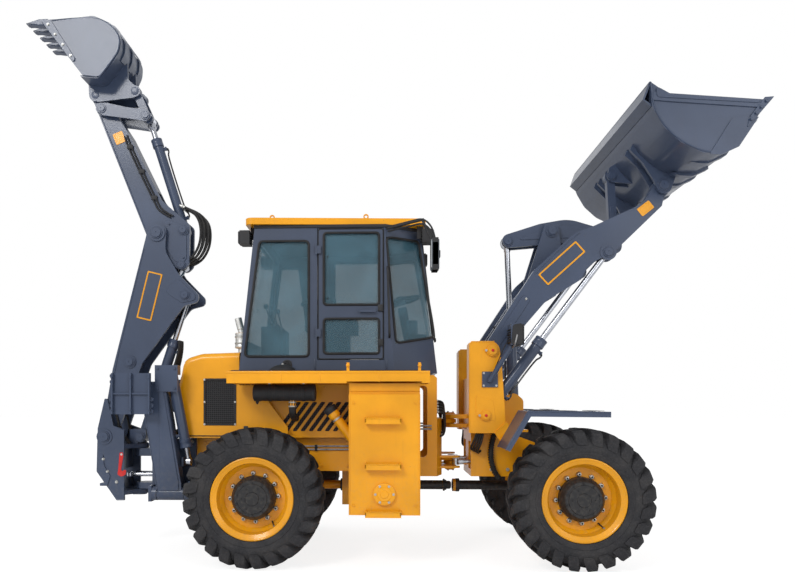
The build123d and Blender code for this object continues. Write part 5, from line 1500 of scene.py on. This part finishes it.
class BACKHOE_OT_digging_bucket(bpy.types.Operator):
    """Fit the teeth, side cutters and wear strips of the digging bucket"""

    bl_idname = "backhoe.digging_bucket"
    bl_label = "Digging bucket fittings"

    def execute(self, context):
        parts = []
        for index in range(5):
            y = -262 + index * 131
            tooth = plate([(-2110, 5010, 12), (-2110, 5072, 12), (-2200, 5070, 20), (-2322, 5033),
                           (-2322, 5025), (-2200, 5008)], y - 37, y + 37, "slate", SIDE, edge=8)
            pin = turned([(0, 0), (0, 9), (78, 9), (80, 0)], facing(RIGHT, at(-2140, y + 40, 5042)), "zinc",
                         12)
            parts += [tooth, pin]
        lip = plate([(-2160, 5026), (-2165, 5056), (-2020, 5060), (-2010, 5032)], -306, 306, "slate", edge=2)
        cutter = both_sides(plate([(-2165, 5050, 12), (-2150, 5022), (-1905, 4700, 20), (-1850, 4640, 20),
                                   (-1832, 4676, 20), (-1870, 4730, 20), (-2070, 5046)], 314, 326, "slate"))
        studs = both_sides(bolts(beside(-326, [(-1876, 4700), (-1950, 4806), (-2024, 4904), (-2092, 5000)]),
                                 RIGHT, 18))
        strips = [plate([(-1790, 5052), (-1668, 5094, 130), (-1496, 5018, 130), (-1396, 4890, 130),
                         (-1403, 4770, 130), (-1440, 4690), (-1430, 4690), (-1391, 4770, 130),
                         (-1384, 4892, 130), (-1486, 5030, 130), (-1664, 5108, 130), (-1800, 5066)], y - 28,
                        y + 28, "slate", SIDE, edge=1) for y in (-190, 0, 190)]
        rim = both_sides(pipe(beside(-308, [(-2060, 5046), (-1676, 5082), (-1508, 5006), (-1410, 4888),
                                            (-1416, 4773), (-1450, 4698), (-1608, 4498)]), 7, "slate"))
        heads = [both_sides(turned([(0, 0), (0, 38), (3, 38), (4, 34), (4, 0)], facing(RIGHT, at(x, -122, z)),
                                   "slate", 24)) for x, z in (DIGGER_PIN, CURL_LINK_PIN)]
        finished(parts + [lip, cutter, studs, rim] + heads + strips, "digging_bucket_fittings",
                 "digging_bucket")
        return {"FINISHED"}


class BACKHOE_OT_stabilisers(bpy.types.Operator):
    """Fit the stabilisers' ribs, bolts and pins, and the toothed edges of their feet"""

    bl_idname = "backhoe.stabilisers"
    bl_label = "Stabiliser fittings"

    def execute(self, context):
        flip = Matrix.Scale(-1, 4, LEFT)
        for side, hand in SIDES:
            rib = plate([(-885, 620, 20), (-720, 620, 20), (-722, 700), (-868, 1560, 20), (-900, 1560, 20)],
                        715, 722, "slate")
            weld = pipe(beside(-716, [(-905, 575), (-1070, 1575), (-860, 1580), (-704, 700)]), 5, "slate",
                        False)
            nuts = bolts(grid(-731, (-905, -750), (1530, 1705)), RIGHT, 18, "slate")
            foot_pin = pin_heads([at(-930, -660, 590)], BACK, 34)
            top_pin = pin_heads([at(-872, -662, 1690)], BACK, 22)
            leg = joined([rib, weld, nuts, foot_pin, top_pin])
            if hand > 0:
                tidy_mesh(placed(leg, flip))
            finished(leg, f"stabiliser_leg_fittings_{side}", f"stabiliser_leg_{side}")
            combs = []
            for edge, way, count in ((-1277, -1, 7), (-937, 1, 3)):
                rows = [(edge - way * 12, 1300)]
                for index in range(count):
                    rows += [(edge + way * 2, 1302 + 52 * index), (edge + way * 22, 1316 + 52 * index),
                             (edge + way * 22, 1334 + 52 * index), (edge + way * 2, 1348 + 52 * index)]
                rows += [(edge + way * 2, 1298 + 52 * count), (edge - way * 12, 1298 + 52 * count)]
                combs.append(plate(rows, 806, 822, "slate", edge=1))
            lugs = bolts(grid(-850, (-1270, -1107, -944), (1340, 1620)), RIGHT, 14, "slate")
            foot = joined([lugs] + combs)
            if hand > 0:
                tidy_mesh(placed(foot, flip))
            finished(foot, f"stabiliser_foot_fittings_{side}", f"stabiliser_foot_{side}")
        return {"FINISHED"}


class BACKHOE_OT_stage(bpy.types.Operator):
    """Set the floor, the white surroundings, the soft lamps and the camera"""

    bl_idname = "backhoe.stage"
    bl_label = "Stage"

    def execute(self, context):
        scene = context.scene
        bpy.ops.object.select_all(action="DESELECT")
        bpy.ops.mesh.primitive_plane_add(size=120, location=(0, 0, 0))
        floor = context.object
        floor.name = "studio_floor"
        surface = bpy.data.materials.new("studio_floor")
        surface.use_nodes = True
        tree = surface.node_tree
        tree.nodes.clear()
        nodes = {kind: tree.nodes.new(f"ShaderNode{kind}")
                 for kind in ("OutputMaterial", "MixShader", "BsdfDiffuse", "Emission", "LightPath", "Math")}
        nodes["BsdfDiffuse"].inputs["Color"].default_value = (0.88, 0.88, 0.88, 1)
        nodes["Emission"].inputs["Color"].default_value = (1, 1, 1, 1)
        nodes["Emission"].inputs["Strength"].default_value = FLOOR_GLOW
        nodes["Math"].operation = "MULTIPLY"
        nodes["Math"].inputs[1].default_value = FLOOR_GLOW_SHARE
        tree.links.new(nodes["LightPath"].outputs["Is Camera Ray"], nodes["Math"].inputs[0])
        tree.links.new(nodes["Math"].outputs[0], nodes["MixShader"].inputs[0])
        tree.links.new(nodes["BsdfDiffuse"].outputs[0], nodes["MixShader"].inputs[1])
        tree.links.new(nodes["Emission"].outputs[0], nodes["MixShader"].inputs[2])
        tree.links.new(nodes["MixShader"].outputs[0], nodes["OutputMaterial"].inputs[0])
        floor.data.materials.append(surface)

        world = bpy.data.worlds.new("studio")
        scene.world = world
        world.use_nodes = True
        tree = world.node_tree
        background = tree.nodes["Background"]
        background.inputs["Color"].default_value = (1, 1, 1, 1)
        path = tree.nodes.new("ShaderNodeLightPath")
        seen = None
        for ray in ("Is Camera Ray", "Is Transmission Ray"):
            step = tree.nodes.new("ShaderNodeMath")
            step.operation = "MAXIMUM"
            tree.links.new(path.outputs[ray], step.inputs[0])
            if seen:
                tree.links.new(seen.outputs[0], step.inputs[1])
            seen = step
        strength = tree.nodes.new("ShaderNodeMapRange")
        strength.inputs["To Min"].default_value = SKY_LIGHT
        strength.inputs["To Max"].default_value = 1.0
        tree.links.new(seen.outputs[0], strength.inputs["Value"])
        tree.links.new(strength.outputs[0], background.inputs["Strength"])

        for name, place, energy, size in LAMPS:
            lamp = bpy.data.lights.new(f"soft_lamp_{name}", "AREA")
            lamp.energy = energy
            lamp.size = size
            obj = bpy.data.objects.new(f"soft_lamp_{name}", lamp)
            scene.collection.objects.link(obj)
            aim = LAMP_AIM - Vector(place)
            obj.matrix_world = Matrix.Translation(place) @ aim.to_track_quat("-Z", "Y").to_matrix().to_4x4()

        optics = bpy.data.cameras.new("camera")
        optics.lens = 31.6
        optics.sensor_width = 36
        optics.shift_x = 0.044
        optics.shift_y = 0.148
        optics.clip_end = 500
        camera = bpy.data.objects.new("camera", optics)
        scene.collection.objects.link(camera)
        camera.location = CAMERA_PLACE
        camera.rotation_euler = (math.pi / 2, 0, CAMERA_HEADING)
        scene.camera = camera
        scene.view_settings.view_transform = "Standard"
        return {"FINISHED"}


OPERATORS = (
    BACKHOE_OT_finishes,
    BACKHOE_OT_tyres,
    BACKHOE_OT_wheel_fittings,
    BACKHOE_OT_cab_seals,
    BACKHOE_OT_cab_trim,
    BACKHOE_OT_cab_lamps,
    BACKHOE_OT_seat,
    BACKHOE_OT_breathing,
    BACKHOE_OT_hood_trim,
    BACKHOE_OT_walkways,
    BACKHOE_OT_rear_frame,
    BACKHOE_OT_tower,
    BACKHOE_OT_loader,
    BACKHOE_OT_loader_bucket,
    BACKHOE_OT_cylinders,
    BACKHOE_OT_backhoe_base,
    BACKHOE_OT_boom,
    BACKHOE_OT_stick,
    BACKHOE_OT_digging_bucket,
    BACKHOE_OT_stabilisers,
    BACKHOE_OT_stage,
)


class BACKHOE_PT_panel(bpy.types.Panel):
    """Lists the sizes, the colours and the pieces"""

    bl_idname = "BACKHOE_PT_panel"
    bl_label = "Backhoe loader"
    bl_space_type = "VIEW_3D"
    bl_region_type = "UI"
    bl_category = "Backhoe loader"

    def draw(self, context):
        for group in (context.scene.backhoe_sizes, context.scene.backhoe_colours):
            for name in group.__annotations__:
                self.layout.prop(group, name)
        for operator in OPERATORS:
            self.layout.operator(operator.bl_idname)


CLASSES = (BackhoeColours, BackhoeSizes, *OPERATORS, BACKHOE_PT_panel)


def register():
    """Add the classes and settings."""
    for cls in CLASSES:
        bpy.utils.register_class(cls)
    bpy.types.Scene.backhoe_colours = bpy.props.PointerProperty(type=BackhoeColours)
    bpy.types.Scene.backhoe_sizes = bpy.props.PointerProperty(type=BackhoeSizes)


def unregister():
    """Take the classes and settings away."""
    del bpy.types.Scene.backhoe_sizes
    del bpy.types.Scene.backhoe_colours
    for cls in reversed(CLASSES):
        bpy.utils.unregister_class(cls)


def corners(bounds):
    """Box as plain lists."""
    return [[float(part) for part in corner] for corner in bounds]


def main():
    """Build every piece."""
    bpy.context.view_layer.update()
    register()
    for operator in OPERATORS:
        group, name = operator.bl_idname.split(".")
        getattr(getattr(bpy.ops, group), name)()


if __name__ == "__main__":
    main()
